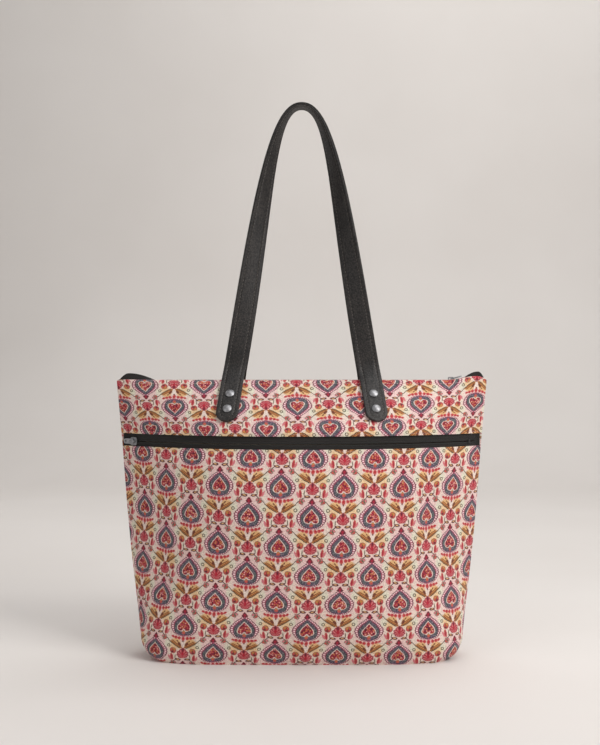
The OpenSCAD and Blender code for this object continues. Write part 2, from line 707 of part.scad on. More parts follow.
module back_rivets() {
    color(NICKEL) mirrored_back() at_rivets() rivet();
}

module front_rivet_caps() {
    color(NICKEL) at_rivets() rivet_cap();
}

module back_rivet_caps() {
    color(NICKEL) mirrored_back() at_rivets() rivet_cap();
}

front_panel();
front_band();
back_panel();
base_panel();
lining();
pocket_back();
pocket_zip_upper_tape();
pocket_zip_lower_tape();
pocket_zip_coils();
pocket_zip_stops();
pocket_zip_slider();
pocket_zip_pull();
top_zip_front_tape();
top_zip_back_tape();
top_zip_coils();
top_zip_stops();
top_zip_slider();
top_zip_pull();
front_handle();
back_handle();
front_rivets();
back_rivets();
front_rivet_caps();
back_rivet_caps();
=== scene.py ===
"""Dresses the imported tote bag: printed cloth, woven zips, stitched leather handles and nickel trim."""

import logging
import math
from collections.abc import Sequence
from dataclasses import dataclass, field
from enum import Enum

import bpy
import numpy as np
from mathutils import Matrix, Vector


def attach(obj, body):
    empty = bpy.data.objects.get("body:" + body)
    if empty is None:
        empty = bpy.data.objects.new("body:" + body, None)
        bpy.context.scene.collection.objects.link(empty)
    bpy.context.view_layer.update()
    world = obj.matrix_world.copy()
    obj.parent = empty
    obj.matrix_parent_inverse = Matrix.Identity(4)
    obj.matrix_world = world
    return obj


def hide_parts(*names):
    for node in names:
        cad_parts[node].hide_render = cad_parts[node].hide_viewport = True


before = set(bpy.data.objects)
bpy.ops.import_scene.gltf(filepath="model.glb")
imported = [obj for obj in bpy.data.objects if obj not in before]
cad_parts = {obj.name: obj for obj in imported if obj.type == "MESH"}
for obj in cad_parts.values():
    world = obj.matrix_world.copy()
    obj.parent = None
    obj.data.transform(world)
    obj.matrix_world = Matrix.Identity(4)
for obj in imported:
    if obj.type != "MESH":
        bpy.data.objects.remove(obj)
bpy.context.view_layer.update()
LOG = logging.getLogger("tote_bag")
MM = 0.001
SMOOTH_ANGLE = math.radians(42)
TINY = 1e-9
UP = np.array([0, 0, 1.0])
Array = np.ndarray
Socket = bpy.types.NodeSocket
Material = bpy.types.Material
Piece = bpy.types.Object
Colour = tuple[float, float, float]
Place = tuple[float, float, float]
Table = tuple[tuple[float, float], ...]


class Body(Enum):
    """The moving bodies that a piece may ride on."""

    BAG = "bag"


class Slot(Enum):
    """The record's material slots of the scene's own finishes."""

    PRINT = "printed_cloth"
    LINING = "lining_cloth"
    TAPE = "zip_tape"
    LEATHER = "strap_leather"


class Face(Enum):
    """Which way a panel looks: the front towards -Y or the back towards +Y."""

    FRONT = 1
    BACK = -1


def srgb(red: int, green: int, blue: int) -> Colour:
    """Turns a colour as seen on a screen into linear light.

    Args:
        red: Red, 0 to 255.
        green: Green, 0 to 255.
        blue: Blue, 0 to 255.

    Returns:
        The linear colour.
    """
    def linear(value: int) -> float:
        """Linear light of one channel."""
        share = value / 255
        return share / 12.92 if share <= 0.04045 else ((share + 0.055) / 1.055) ** 2.4
    return linear(red), linear(green), linear(blue)


class NodeSheet:
    """A material's node tree with short calls for the nodes that the finishes use."""

    def __init__(self, name: str) -> None:
        """Starts a new material with a surface shader.

        Args:
            name: The material's name.
        """
        self.material = bpy.data.materials.new(name)
        self.material.use_nodes = True
        self.tree = self.material.node_tree
        self.shader = self.tree.nodes["Principled BSDF"]

    def add(self, kind: str, **settings: object) -> bpy.types.Node:
        """Adds a node.

        Args:
            kind: The node's type name.
            settings: Properties to set on it.

        Returns:
            The node.
        """
        node = self.tree.nodes.new(kind)
        for key, value in settings.items():
            setattr(node, key, value)
        return node

    def feed(self, value: object, socket: Socket) -> None:
        """Links or sets an input.

        Args:
            value: A socket to link, or a plain or named value.
            socket: The input.
        """
        value = value.value if isinstance(value, Enum) else value
        if isinstance(value, Socket):
            self.tree.links.new(value, socket)
        elif isinstance(value, tuple) and len(value) == 3 and socket.type == "RGBA":
            socket.default_value = (*value, 1.0)
        else:
            socket.default_value = value

    def math(self, operation: str, first: object, second: object = 0.0, third: object = 0.0) -> Socket:
        """Adds a Math node.

        Args:
            operation: The node's operation.
            first: First input.
            second: Second input.
            third: Third input.

        Returns:
            Its result.
        """
        node = self.add("ShaderNodeMath", operation=operation)
        for value, socket in zip((first, second, third), node.inputs):
            self.feed(value, socket)
        return node.outputs[0]

    def inside(self, distance: object, edge: object, soft: float = 0.3) -> Socket:
        """Mask that is 1 where a distance lies under an edge, with a soft step.

        Args:
            distance: The distance.
            edge: Where the mask falls to a half.
            soft: Half the width of the step.

        Returns:
            The mask.
        """
        gap = self.math("SUBTRACT", distance, edge)
        node = self.add("ShaderNodeMapRange", interpolation_type="SMOOTHSTEP")
        self.feed(gap, node.inputs["Value"])
        for name, value in (("From Min", -soft), ("From Max", soft), ("To Min", 1.0), ("To Max", 0.0)):
            node.inputs[name].default_value = value
        return node.outputs["Result"]

    def vector(self, x: object, y: object, z: object = 0.0) -> Socket:
        """Joins three numbers into a vector.

        Args:
            x: First part.
            y: Second part.
            z: Third part.

        Returns:
            The vector.
        """
        node = self.add("ShaderNodeCombineXYZ")
        for value, socket in zip((x, y, z), node.inputs):
            self.feed(value, socket)
        return node.outputs[0]

    def ellipse(self, point: Socket, centre: tuple[float, float], radii: tuple[float, float],
                turn: float = 0.0) -> Socket:
        """Distance from an ellipse's centre, 1 on its rim.

        Args:
            point: Where to measure.
            centre: The ellipse's centre.
            radii: Its two radii.
            turn: Its turn in degrees.

        Returns:
            The distance.
        """
        mapping = self.add("ShaderNodeMapping", vector_type="TEXTURE")
        self.feed(point, mapping.inputs["Vector"])
        mapping.inputs["Location"].default_value = (*centre, 0)
        mapping.inputs["Rotation"].default_value = (0, 0, math.radians(turn))
        mapping.inputs["Scale"].default_value = (*radii, 1)
        length = self.add("ShaderNodeVectorMath", operation="LENGTH")
        self.feed(mapping.outputs[0], length.inputs[0])
        return length.outputs["Value"]

    def profile(self, along: Socket, table: Table) -> Socket:
        """Reads a curve through given points.

        Args:
            along: Where on the curve.
            table: Points as (place, value), in rising order of place.

        Returns:
            The curve's value.
        """
        low, high = table[0][0], table[-1][0]
        most = max(value for _, value in table)
        place = self.math("DIVIDE", self.math("SUBTRACT", along, low), high - low)
        node = self.add("ShaderNodeFloatCurve")
        curve = node.mapping.curves[0]
        for index, (at, value) in enumerate(table):
            x, y = (at - low) / (high - low), value / most
            if index < 2:
                curve.points[index].location = (x, y)
            else:
                curve.points.new(x, y)
        node.mapping.update()
        self.feed(place, node.inputs["Value"])
        return self.math("MULTIPLY", node.outputs["Value"], most)

    def mix(self, factor: object, low: object, high: object, blend: str = "MIX") -> Socket:
        """Mixes two colours.

        Args:
            factor: How much of the second colour.
            low: The first colour.
            high: The second colour.
            blend: The node's blend type.

        Returns:
            The mixed colour.
        """
        node = self.add("ShaderNodeMix", data_type="RGBA", blend_type=blend)
        self.feed(factor, node.inputs["Factor"])
        self.feed(low, node.inputs[6])
        self.feed(high, node.inputs[7])
        return node.outputs[2]

    def noise(self, place: Socket, scale: float, detail: float = 2.0) -> Socket:
        """Adds noise.

        Args:
            place: Where to read it.
            scale: Its scale.
            detail: How many finer layers it has.

        Returns:
            The noise, a number round a half.
        """
        node = self.add("ShaderNodeTexNoise")
        self.feed(place, node.inputs["Vector"])
        node.inputs["Scale"].default_value = scale
        node.inputs["Detail"].default_value = detail
        return node.outputs["Fac"]

    def cells(self, place: Socket, scale: float, output: str = "Distance") -> Socket:
        """Adds Voronoi cells.

        Args:
            place: Where to read them.
            scale: Their scale.
            output: Distance or Color.

        Returns:
            The distance to a cell's middle, or the cell's colour.
        """
        node = self.add("ShaderNodeTexVoronoi")
        self.feed(place, node.inputs["Vector"])
        node.inputs["Scale"].default_value = scale
        return node.outputs[output]

    def wave(self, value: Socket, pitch: float) -> Socket:
        """Sine wave of a coordinate, from -1 to 1, with a given pitch."""
        return self.math("SINE", self.math("MULTIPLY", value, 2 * math.pi / pitch))

    def coordinates(self, kind: str = "Object") -> tuple[Socket, Socket, Socket, Socket]:
        """The piece's own coordinates.

        Args:
            kind: Object or UV.

        Returns:
            The vector and its three parts.
        """
        vector = self.add("ShaderNodeTexCoord").outputs[kind]
        parts = self.add("ShaderNodeSeparateXYZ")
        self.feed(vector, parts.inputs[0])
        return vector, *parts.outputs

    def bump(self, height: Socket, distance: float, strength: float = 1.0) -> None:
        """Raises the surface by a height map.

        Args:
            height: The map.
            distance: How far a height of 1 stands out.
            strength: How much of it shows.
        """
        node = self.add("ShaderNodeBump")
        node.inputs["Strength"].default_value = strength
        node.inputs["Distance"].default_value = distance
        self.feed(height, node.inputs["Height"])
        self.feed(node.outputs[0], self.shader.inputs["Normal"])

    def surface(self, **inputs: object) -> Material:
        """Sets the shader's inputs.

        Args:
            inputs: Values or sockets by input name, with _ for a space.

        Returns:
            The material.
        """
        for name, value in inputs.items():
            self.feed(value, self.shader.inputs[name.replace("_", " ")])
        return self.material


class Ink(Enum):
    """The print's colours."""

    GROUND = srgb(238, 222, 208)
    BLUSH = srgb(238, 208, 203)
    LEAF_TINT = srgb(230, 226, 206)
    STRAW = srgb(238, 206, 162)
    TRELLIS = srgb(76, 56, 46)
    MAROON = srgb(98, 44, 54)
    BEAD = srgb(176, 86, 112)
    BEAD_LIGHT = srgb(250, 226, 226)
    SLATE = srgb(104, 100, 110)
    SLATE_DARK = srgb(62, 58, 70)
    SLATE_PALE = srgb(146, 138, 142)
    SLATE_TINT = srgb(114, 92, 116)
    SLATE_GREEN = srgb(90, 106, 102)
    CREAM = srgb(240, 224, 214)
    CRIMSON = srgb(170, 46, 66)
    SCARLET = srgb(188, 44, 62)
    CORAL = srgb(204, 92, 86)
    GOLD = srgb(206, 140, 80)
    TAN = srgb(234, 190, 132)
    BLOSSOM = srgb(234, 178, 166)
    BROWN = srgb(122, 66, 50)
    OLIVE = srgb(110, 104, 82)
    ROSE = srgb(216, 128, 136)
    FLECK = srgb(168, 150, 150)
    BARE = (1.0, 0.99, 0.98)


@dataclass(frozen=True)
class Patch:
    """An elliptic patch of the print, with a softness as a share of its radii and at will a thin rim."""

    ink: Ink
    centre: tuple[float, float]
    radii: tuple[float, float]
    turn: float = 0.0
    soft: float = 0.4
    rim: Ink | None = None


@dataclass(frozen=True)
class Motif:
    """A place in one repeat of the print, in millimetres: off its axis, up towards its tip, and both as a vector."""

    sheet: NodeSheet
    x: Socket
    y: Socket
    point: Socket
    rim_w: float = 0.42
    line_soft: float = 0.28
    end_soft: float = 0.25

    def patches(self, base: object, table: Sequence[Patch], up: float = 0.0) -> Socket:
        """Lays elliptic patches one over the other.

        Args:
            base: The colour under them.
            table: The patches.
            up: How far up to move them.

        Returns:
            The colour with the patches.
        """
        sheet = self.sheet
        for patch in table:
            centre = (patch.centre[0], patch.centre[1] + up)
            distance = sheet.ellipse(self.point, centre, patch.radii, patch.turn)
            if patch.rim is not None:
                reach = 1.0 + self.rim_w / min(patch.radii)
                base = sheet.mix(sheet.inside(distance, reach, patch.soft), base, patch.rim)
            base = sheet.mix(sheet.inside(distance, 1.0, patch.soft), base, patch.ink)
        return base

    def line(self, base: Socket, distance: Socket, half: float, ink: Ink, limit: Socket | None = None) -> Socket:
        """Lays a thin line where a distance is near zero.

        Args:
            base: The colour under it.
            distance: Signed distance from the line.
            half: Half the line's width.
            ink: The line's colour.
            limit: A mask outside which there is no line.

        Returns:
            The colour with the line.
        """
        mask = self.sheet.inside(self.sheet.math("ABSOLUTE", distance), half, self.line_soft)
        if limit is not None:
            mask = self.sheet.math("MULTIPLY", mask, limit)
        return self.sheet.mix(mask, base, ink)

    def outline(self, table: Table) -> tuple[Socket, Socket]:
        """Measures against an outline of half widths by height.

        Args:
            table: The outline.

        Returns:
            Signed distance from it, and a mask of its stretch of heights.
        """
        sheet, low, high = self.sheet, table[0][0], table[-1][0]
        out = sheet.math("SUBTRACT", self.x, sheet.profile(self.y, table))
        off = sheet.math("ABSOLUTE", sheet.math("SUBTRACT", self.y, (low + high) / 2))
        return out, sheet.inside(off, (high - low) / 2, self.end_soft)

    def lay(self, base: Socket, distance: Socket, edge: float, within: object, tone: object,
            soft: float = 0.3) -> Socket:
        """Lays a colour where a distance lies under an edge, within a mask."""
        mask = self.sheet.math("MULTIPLY", self.sheet.inside(distance, edge, soft), within)
        return self.sheet.mix(mask, base, tone)


@dataclass(frozen=True)
class PrintedCloth:
    """Cotton printed with rows of pointed medallions in an ogee trellis, read from the UV map in metres."""

    name: str = "printed_cotton"
    column: float = 34.6
    period: float = 65.4
    low: float = -41.0
    wobble: float = 1.5
    wobble_scales: tuple[float, float] = (190.0, 230.0)
    bead_count: float = 34.0
    weave: float = 0.55
    vein: float = 2.2
    ray: float = 0.56
    grain: float = 620.0
    dot: float = 520.0
    mottle: float = 700.0
    fade: float = 0.45
    relief: float = 0.00006
    trellis_from: float = 3.4
    upper_w: float = 0.56
    lower_w: float = 0.62
    medallion: Table = (
        (-12.8, 4.0), (-11, 9.0), (-9, 11.8), (-6.7, 13.8), (-3, 15.8), (0, 16.2), (3, 15.6), (6, 13.5),
        (9, 10.6), (11, 8.4), (14, 4.4), (16, 2.4), (17, 0))
    ring: Table = (
        (-11.3, 4.0), (-10, 8), (-8, 10.2), (-5, 11.5), (-1, 11.9), (2, 11.3), (5, 9.4), (8, 6.8), (11, 3.6),
        (14, 0))
    spade: Table = (
        (-6.8, 3.0), (-6, 5.4), (-5, 7.4), (-3, 8.4), (-1, 8.2), (2, 6.7), (5, 4.3), (8, 1.6), (9.8, 0))
    tip: Table = ((14.2, 1.2), (15.4, 2.4), (16.6, 3.6), (17.4, 2.6), (18.6, 2.0), (21.2, 0))
    upper_vine: Table = ((0, 22.0), (3, 24.0), (5.2, 24.1), (9, 21.6), (14.7, 17.3), (17.4, 14.7))
    lower_vine: Table = ((0, 29), (5.5, 26.6), (9, 24.6), (14, 21), (17.4, 18))
    wing: Table = ((0, 0), (1.8, 4.5), (4, 9.4), (7, 10.4), (10, 8.8), (13, 5.4), (15, 2.2), (17.4, 0))
    flower: Table = (
        (-40.6, 2.2), (-39, 4.4), (-36.5, 6.0), (-34, 6.2), (-31.5, 4.6), (-29.5, 2.4), (-26.8, 0))
    tints: tuple[Patch, ...] = (
        Patch(Ink.BLUSH, (0, 2), (19, 23), soft=0.3),
        Patch(Ink.LEAF_TINT, (15.4, -23), (2.8, 5.0), soft=0.5),
        Patch(Ink.LEAF_TINT, (15.4, 9.7), (2.8, 5.0), soft=0.5),
        Patch(Ink.STRAW, (10.5, -26), (5.5, 4.5), soft=0.5))
    petals: tuple[Patch, ...] = (
        Patch(Ink.BROWN, (4.2, -22.4), (1.5, 3.0), -30, 0.3),
        Patch(Ink.BROWN, (7.0, -18.6), (0.7, 1.5), -40),
        Patch(Ink.CORAL, (12.4, -13.4), (2.1, 1.4), 30, 0.2),
        Patch(Ink.SCARLET, (12.7, -13.0), (1.05, 0.7), 30),
        Patch(Ink.CORAL, (8.8, -14.3), (2.0, 2.0), 20, 0.2),
        Patch(Ink.SCARLET, (9.1, -13.9), (1.0, 1.0), 20),
        Patch(Ink.CORAL, (4.8, -15.0), (2.0, 2.1), 10, 0.2),
        Patch(Ink.SCARLET, (5.1, -14.6), (1.0, 1.05), 10),
        Patch(Ink.CORAL, (0, -15.6), (2.1, 2.8), 0, 0.2),
        Patch(Ink.SCARLET, (0, -15.2), (1.05, 1.4)),
        Patch(Ink.CREAM, (0, -23.6), (1.8, 4.0), 0, 0.16),
        Patch(Ink.CREAM, (1.9, -21.2), (0.9, 1.9), -24, 0.3),
        Patch(Ink.BROWN, (0, -18.9), (0.9, 1.1)))
    buds: tuple[Patch, ...] = (
        Patch(Ink.SCARLET, (0, -34.6), (1.6, 2.6), 0, 0.35),
        Patch(Ink.MAROON, (0, -30.0), (0.7, 2.2)),
        Patch(Ink.CORAL, (11.4, -31.0), (3.4, 3.3), 20, 0.12, Ink.BROWN),
        Patch(Ink.GOLD, (10.6, -29.6), (2.0, 1.5), 20, 0.3),
        Patch(Ink.MAROON, (12.2, -32.6), (1.7, 0.9), 20),
        Patch(Ink.BROWN, (11.6, -30.6), (0.5, 1.8), -20))
    leaves: tuple[Patch, ...] = (
        Patch(Ink.ROSE, (15.6, -40.4), (1.3, 3.8), -26, 0.25),
        Patch(Ink.CORAL, (12.9, -39.4), (1.8, 4.8), -8, 0.16),
        Patch(Ink.CRIMSON, (12.5, -40.0), (0.8, 3.6), -6),
        Patch(Ink.OLIVE, (8.7, -38.6), (0.6, 2.8), 6))
    sprigs: tuple[Patch, ...] = (
        Patch(Ink.MAROON, (5.4, 23.1), (3.6, 1.7), 12, 0.18),
        Patch(Ink.TAN, (5.4, 23.1), (1.7, 0.6), 12),
        Patch(Ink.ROSE, (9.4, 18.4), (1.5, 1.2), 40, 0.25, Ink.OLIVE),
        Patch(Ink.ROSE, (12.4, 18.9), (1.5, 1.2), 40, 0.25, Ink.OLIVE),
        Patch(Ink.ROSE, (11.4, 15.8), (1.5, 1.2), 40, 0.25, Ink.OLIVE),
        Patch(Ink.CORAL, (12.9, 16.4), (1.5, 1.2), 40, 0.25, Ink.OLIVE),
        Patch(Ink.OLIVE, (10.9, 17.3), (0.6, 2.6), -35))
    rings: tuple[tuple[float, float], ...] = ((16.9, -24.8), (17.7, 7.9))
    ring_r: float = 1.55
    ring_w: float = 0.5
    flower_y: float = -33.7
    flower_up: float = 6.9
    ray_y: float = -37.0
    stem: tuple[Patch, ...] = (
        Patch(Ink.CORAL, (0, -8.2), (1.9, 2.0), 0, 0.3), Patch(Ink.GOLD, (0, -6.6), (1.3, 1.0)))
    tip_dots: tuple[Patch, ...] = (
        Patch(Ink.CRIMSON, (0, 17.2), (1.5, 1.7), 0, 0.3), Patch(Ink.BEAD, (0, 14.4), (1.4, 1.0)))

    def motif(self, sheet: NodeSheet) -> Motif:
        """Folds the UV map into one motif, in millimetres.

        Args:
            sheet: The material's nodes.

        Returns:
            The place in the motif.
        """
        vector, *uv, _ = sheet.coordinates("UV")
        x, y = (sheet.math("ADD", sheet.math("MULTIPLY", part, 1 / MM), sheet.math(
            "MULTIPLY", sheet.math("SUBTRACT", sheet.noise(vector, scale), 0.5), self.wobble))
            for part, scale in zip(uv, self.wobble_scales))
        across = sheet.math("PINGPONG", x, self.column)
        own = sheet.math("LESS_THAN", across, self.column / 2)
        shift = sheet.math("MULTIPLY", sheet.math("SUBTRACT", 1.0, own), self.period / 2)
        up = sheet.math("WRAP", sheet.math("ADD", y, shift), self.low + self.period, self.low)
        off = sheet.math("MINIMUM", across, sheet.math("SUBTRACT", self.column, across))
        return Motif(sheet, off, up, sheet.vector(off, up))

    def foliage(self, motif: Motif) -> Socket:
        """Ground, trellis, petals, palmettes, buds and leaves between the medallions.

        Args:
            motif: The place in the motif.

        Returns:
            The colour.
        """
        sheet = motif.sheet
        colour = motif.patches(Ink.GROUND, self.tints)
        upper = sheet.math("SUBTRACT", motif.y, sheet.profile(motif.x, self.upper_vine))
        lower = sheet.math("ADD", motif.y, sheet.profile(motif.x, self.lower_vine))
        colour = self.palmette(motif, colour, lower)
        beyond = sheet.math("GREATER_THAN", motif.x, self.trellis_from)
        colour = motif.line(colour, upper, self.upper_w, Ink.TRELLIS, beyond)
        colour = motif.line(colour, lower, self.lower_w, Ink.TRELLIS, beyond)
        return self.flowers(motif, colour)

    def palmette(self, motif: Motif, colour: Socket, over: Socket) -> Socket:
        """The pair of golden palmettes with red petals under each medallion.

        Args:
            motif: The place in the motif.
            colour: The colour under them.
            over: Height over the trellis below.

        Returns:
            The colour with the palmettes.
        """
        sheet = motif.sheet
        reach = sheet.profile(motif.x, self.wing)
        above = sheet.inside(sheet.math("SUBTRACT", 0.0, over), 0.0)
        wing = sheet.math("MULTIPLY", sheet.inside(over, reach, 0.5), above)
        tone = sheet.mix(sheet.inside(over, 4.4, 1.8), Ink.TAN, Ink.GOLD)
        stripe = sheet.inside(sheet.wave(over, self.vein), -0.3, 0.35)
        tone = motif.lay(tone, over, 5.4, stripe, Ink.BROWN, 0.8)
        pale = sheet.inside(sheet.math("SUBTRACT", reach, over), 1.6, 1.0)
        colour = sheet.mix(wing, colour, sheet.mix(sheet.math("MULTIPLY", pale, 0.7), tone, Ink.STRAW))
        return motif.patches(colour, self.petals)

    def flowers(self, motif: Motif, colour: Socket) -> Socket:
        """The pointed flower with its buds, leaves, sprigs and rings.

        Args:
            motif: The place in the motif.
            colour: The colour under them.

        Returns:
            The colour with the flowers.
        """
        sheet = motif.sheet
        body = sheet.math("SUBTRACT", motif.x, sheet.profile(motif.y, self.flower))
        off = sheet.math("ABSOLUTE", sheet.math("SUBTRACT", motif.y, self.flower_y))
        within = sheet.inside(off, self.flower_up, 0.2)
        turn = sheet.math("ARCTAN2", motif.x, sheet.math("SUBTRACT", motif.y, self.ray_y))
        rays = sheet.wave(turn, self.ray)
        lobes = sheet.math("MULTIPLY_ADD", rays, 0.5, body)
        flower = sheet.mix(sheet.inside(rays, 0.4, 0.5), Ink.CRIMSON, Ink.CORAL)
        flower = sheet.mix(sheet.inside(rays, -0.55, 0.25), flower, Ink.ROSE)
        for edge, tone in ((1.0, Ink.ROSE), (0.2, Ink.MAROON), (-0.5, flower)):
            colour = motif.lay(colour, lobes, edge, within, tone)
        colour = motif.patches(colour, self.buds)
        for up in (0.0, self.period):
            colour = motif.patches(colour, self.leaves, up)
        colour = motif.patches(colour, self.sprigs)
        for centre in self.rings:
            rim = sheet.math("SUBTRACT", sheet.ellipse(motif.point, centre, (1.0, 1.0)), self.ring_r)
            colour = motif.line(colour, rim, self.ring_w, Ink.OLIVE)
        return colour

    def speckle(self, sheet: NodeSheet, cloth: Socket) -> Socket:
        """The spade's filling of small flowers.

        Args:
            sheet: The material's nodes.
            cloth: The UV map.

        Returns:
            Its colour.
        """
        speck = sheet.add("ShaderNodeSeparateColor")
        sheet.feed(sheet.cells(cloth, self.dot, "Color"), speck.inputs[0])
        dots = sheet.mix(sheet.inside(speck.outputs[0], 0.5, 0.1), Ink.BLOSSOM, Ink.CORAL)
        dots = sheet.mix(sheet.inside(speck.outputs[1], 0.35, 0.08), dots, Ink.GOLD)
        reach = sheet.cells(cloth, self.dot)
        fill = sheet.mix(sheet.inside(reach, 0.72, 0.1), Ink.MAROON, Ink.CRIMSON)
        return sheet.mix(sheet.inside(reach, 0.44, 0.12), fill, dots)

    def slate(self, motif: Motif, cloth: Socket) -> Socket:
        """The ring's patchy and grained slate.

        Args:
            motif: The place in the motif.
            cloth: The UV map.

        Returns:
            Its colour.
        """
        sheet = motif.sheet
        patches, grains = sheet.noise(motif.point, 0.16, 1.0), sheet.noise(cloth, self.grain)
        rest, gaps = (sheet.math("SUBTRACT", 1.0, noise) for noise in (patches, grains))
        slate = sheet.mix(sheet.inside(patches, 0.44, 0.1), Ink.SLATE, Ink.SLATE_TINT)
        slate = sheet.mix(sheet.inside(rest, 0.4, 0.08), slate, Ink.SLATE_GREEN)
        slate = motif.lay(slate, grains, 0.47, 0.75, Ink.SLATE_DARK, 0.06)
        return motif.lay(slate, gaps, 0.42, 0.6, Ink.SLATE_PALE, 0.05)

    def heart(self, motif: Motif, colour: Socket) -> Socket:
        """The medallion: beaded border, slate ring, cream line, speckled spade and pointed tip.

        Args:
            motif: The place in the motif.
            colour: The colour under it.

        Returns:
            The colour with the medallion.
        """
        def beyond(centre: tuple[float, float], radii: tuple[float, float], soft: float) -> Socket:
            """Mask of what lies outside an ellipse."""
            return sheet.inside(sheet.math("SUBTRACT", 0.0, sheet.ellipse(motif.point, centre, radii)), -1.0, soft)
        sheet = motif.sheet
        cloth = sheet.coordinates("UV")[0]
        beads = sheet.wave(sheet.math("ARCTAN2", motif.x, motif.y), 2 * math.pi / self.bead_count)
        outer, outer_in = motif.outline(self.medallion)
        edge = sheet.math("MULTIPLY_ADD", beads, 0.35, outer)
        row = sheet.inside(sheet.math("ABSOLUTE", sheet.math("ADD", outer, 2.2)), 1.1, 0.35)
        dots = sheet.math("MULTIPLY", sheet.inside(beads, 0.2, 0.35), row)
        colour = motif.lay(colour, edge, 0.1, outer_in, Ink.MAROON)
        colour = motif.lay(colour, edge, -0.8, outer_in, sheet.mix(dots, Ink.BEAD, Ink.BEAD_LIGHT))
        ring, ring_in = motif.outline(self.ring)
        colour = motif.lay(colour, ring, 0.35, ring_in, Ink.MAROON, 0.4)
        colour = motif.lay(colour, ring, -0.25, ring_in, self.slate(motif, cloth), 0.4)
        colour = motif.patches(colour, self.stem)
        spade, spade_in = motif.outline(self.spade)
        notched = sheet.math("MULTIPLY", spade_in, beyond((0, -7.6), (1.7, 2.6), 0.25))
        colour = motif.lay(colour, spade, 0.0, notched, Ink.CREAM)
        low = sheet.inside(sheet.math("SUBTRACT", -5.9, motif.y), 0.0)
        core = sheet.math("MULTIPLY", sheet.math("MULTIPLY", spade_in, low), beyond((0, -7.0), (2.4, 3.2), 0.2))
        colour = motif.lay(colour, spade, -0.95, core, self.speckle(sheet, cloth))
        tip, tip_in = motif.outline(self.tip)
        colour = motif.lay(colour, tip, 0.5, tip_in, Ink.ROSE)
        colour = motif.lay(colour, tip, 0.0, tip_in, Ink.MAROON)
        return motif.patches(colour, self.tip_dots)

    def material(self) -> Material:
        """Makes the printed cloth's material.

        Returns:
            The material.
        """
        sheet = NodeSheet(self.name)
        motif = self.motif(sheet)
        colour = self.heart(motif, self.foliage(motif))
        vector, u, v, _ = sheet.coordinates("UV")
        mottle = sheet.noise(vector, self.mottle, 3)
        fleck = sheet.inside(mottle, 0.5, 0.16)
        colour = sheet.mix(self.fade, colour, sheet.mix(fleck, Ink.BARE, Ink.FLECK), "MULTIPLY")
        warp, weft = sheet.wave(u, self.weave * MM), sheet.wave(v, self.weave * MM)
        sheet.bump(sheet.math("MULTIPLY", warp, weft), self.relief, 0.5)
        rough = sheet.math("MULTIPLY_ADD", mottle, 0.16, 0.74)
        return sheet.surface(Base_Color=colour, Roughness=rough, Sheen_Weight=0.12, Sheen_Roughness=0.5,
                             Specular_IOR_Level=0.25)


@dataclass(frozen=True)
class WovenCloth:
    """Plain woven cloth or tape in one yarn colour with random darker yarn, its weave in relief, and painted shade in
    the weave's hollows.
    """

    name: str
    yarn: Colour
    dark_yarn_and_shade: Colour
    pitch: float
    relief: float
    roughness: float
    sheen: float
    twill: float = 0.0
    over_depth: float = 0.7
    fuzz: float = 700.0

    def material(self) -> Material:
        """Makes the woven material.

        Returns:
            The material.
        """
        sheet = NodeSheet(self.name)
        vector, x, y, z = sheet.coordinates()
        across = sheet.math("MULTIPLY_ADD", y, self.over_depth, x)
        warp = sheet.wave(sheet.math("MULTIPLY_ADD", z, self.twill, across), self.pitch)
        weft = sheet.wave(sheet.math("MULTIPLY_ADD", y, self.over_depth, z), self.pitch)
        height = sheet.math("MULTIPLY", warp, weft)
        fuzz = sheet.noise(vector, self.fuzz, 3)
        # Painted shade: the weave's relief height also sets the colour, so its hollows go towards the dark colour;
        # the fuzz noise adds random darker yarn.
        blend = sheet.math("MULTIPLY_ADD", height, 0.3, fuzz)
        sheet.bump(height, self.relief, 0.8)
        return sheet.surface(Base_Color=sheet.mix(blend, self.dark_yarn_and_shade, self.yarn),
                             Roughness=sheet.math("MULTIPLY_ADD", fuzz, 0.15, self.roughness),
                             Sheen_Weight=self.sheen, Specular_IOR_Level=0.3)


@dataclass(frozen=True)
class GrainedLeather:
    """Black grained leather with pebbled relief, lighter worn patches and painted shade between the pebbles."""

    name: str = "grained_leather"
    dark: Colour = srgb(20, 18, 18)
    light: Colour = srgb(66, 61, 58)
    grain: float = 560.0
    crease: float = 1500.0
    cloud: float = 45.0
    relief: float = 0.00026

    def material(self) -> Material:
        """Makes the leather's material.

        Returns:
            The material.
        """
        sheet = NodeSheet(self.name)
        vector, *_ = sheet.coordinates()
        pebble = sheet.cells(vector, self.grain)
        crease = sheet.noise(vector, self.crease, 3)
        broad = sheet.noise(vector, self.cloud)
        height = sheet.math("SUBTRACT", sheet.math("MULTIPLY", crease, 0.35), pebble)
        sheet.bump(height, self.relief, 0.75)
        # Painted shade: the tone falls with the distance from each pebble's middle, so the hollows between pebbles
        # are darker; the broad noise is random lighter wear.
        tone = sheet.math("SUBTRACT", sheet.math("MULTIPLY_ADD", broad, 0.8, 0.3), pebble)
        rough = sheet.math("MULTIPLY_ADD", pebble, 0.25, sheet.math("MULTIPLY_ADD", broad, 0.12, 0.36))
        return sheet.surface(Base_Color=sheet.mix(tone, self.dark, self.light), Roughness=rough,
                             Specular_IOR_Level=0.45)


@dataclass(frozen=True)
class Thread:
    """Twisted sewing thread in one colour, with painted highlight on the twist's ridges and painted shade in its
    grooves.
    """

    name: str
    light: Colour
    dark: Colour
    pitch: float = 0.5
    relief: float = 0.00005

    def material(self) -> Material:
        """Makes the thread's material.

        Returns:
            The material.
        """
        sheet = NodeSheet(self.name)
        _, x, y, z = sheet.coordinates()
        twist = sheet.wave(sheet.math("ADD", x, sheet.math("ADD", y, z)), self.pitch * MM)
        sheet.bump(twist, self.relief, 0.8)
        # Painted highlight and shade: the colour follows the twist's relief, lighter on its ridges and darker in its
        # grooves.
        tone = sheet.math("MULTIPLY_ADD", twist, 0.5, 0.5)
        return sheet.surface(Base_Color=sheet.mix(tone, self.dark, self.light), Roughness=0.6, Sheen_Weight=0.15)


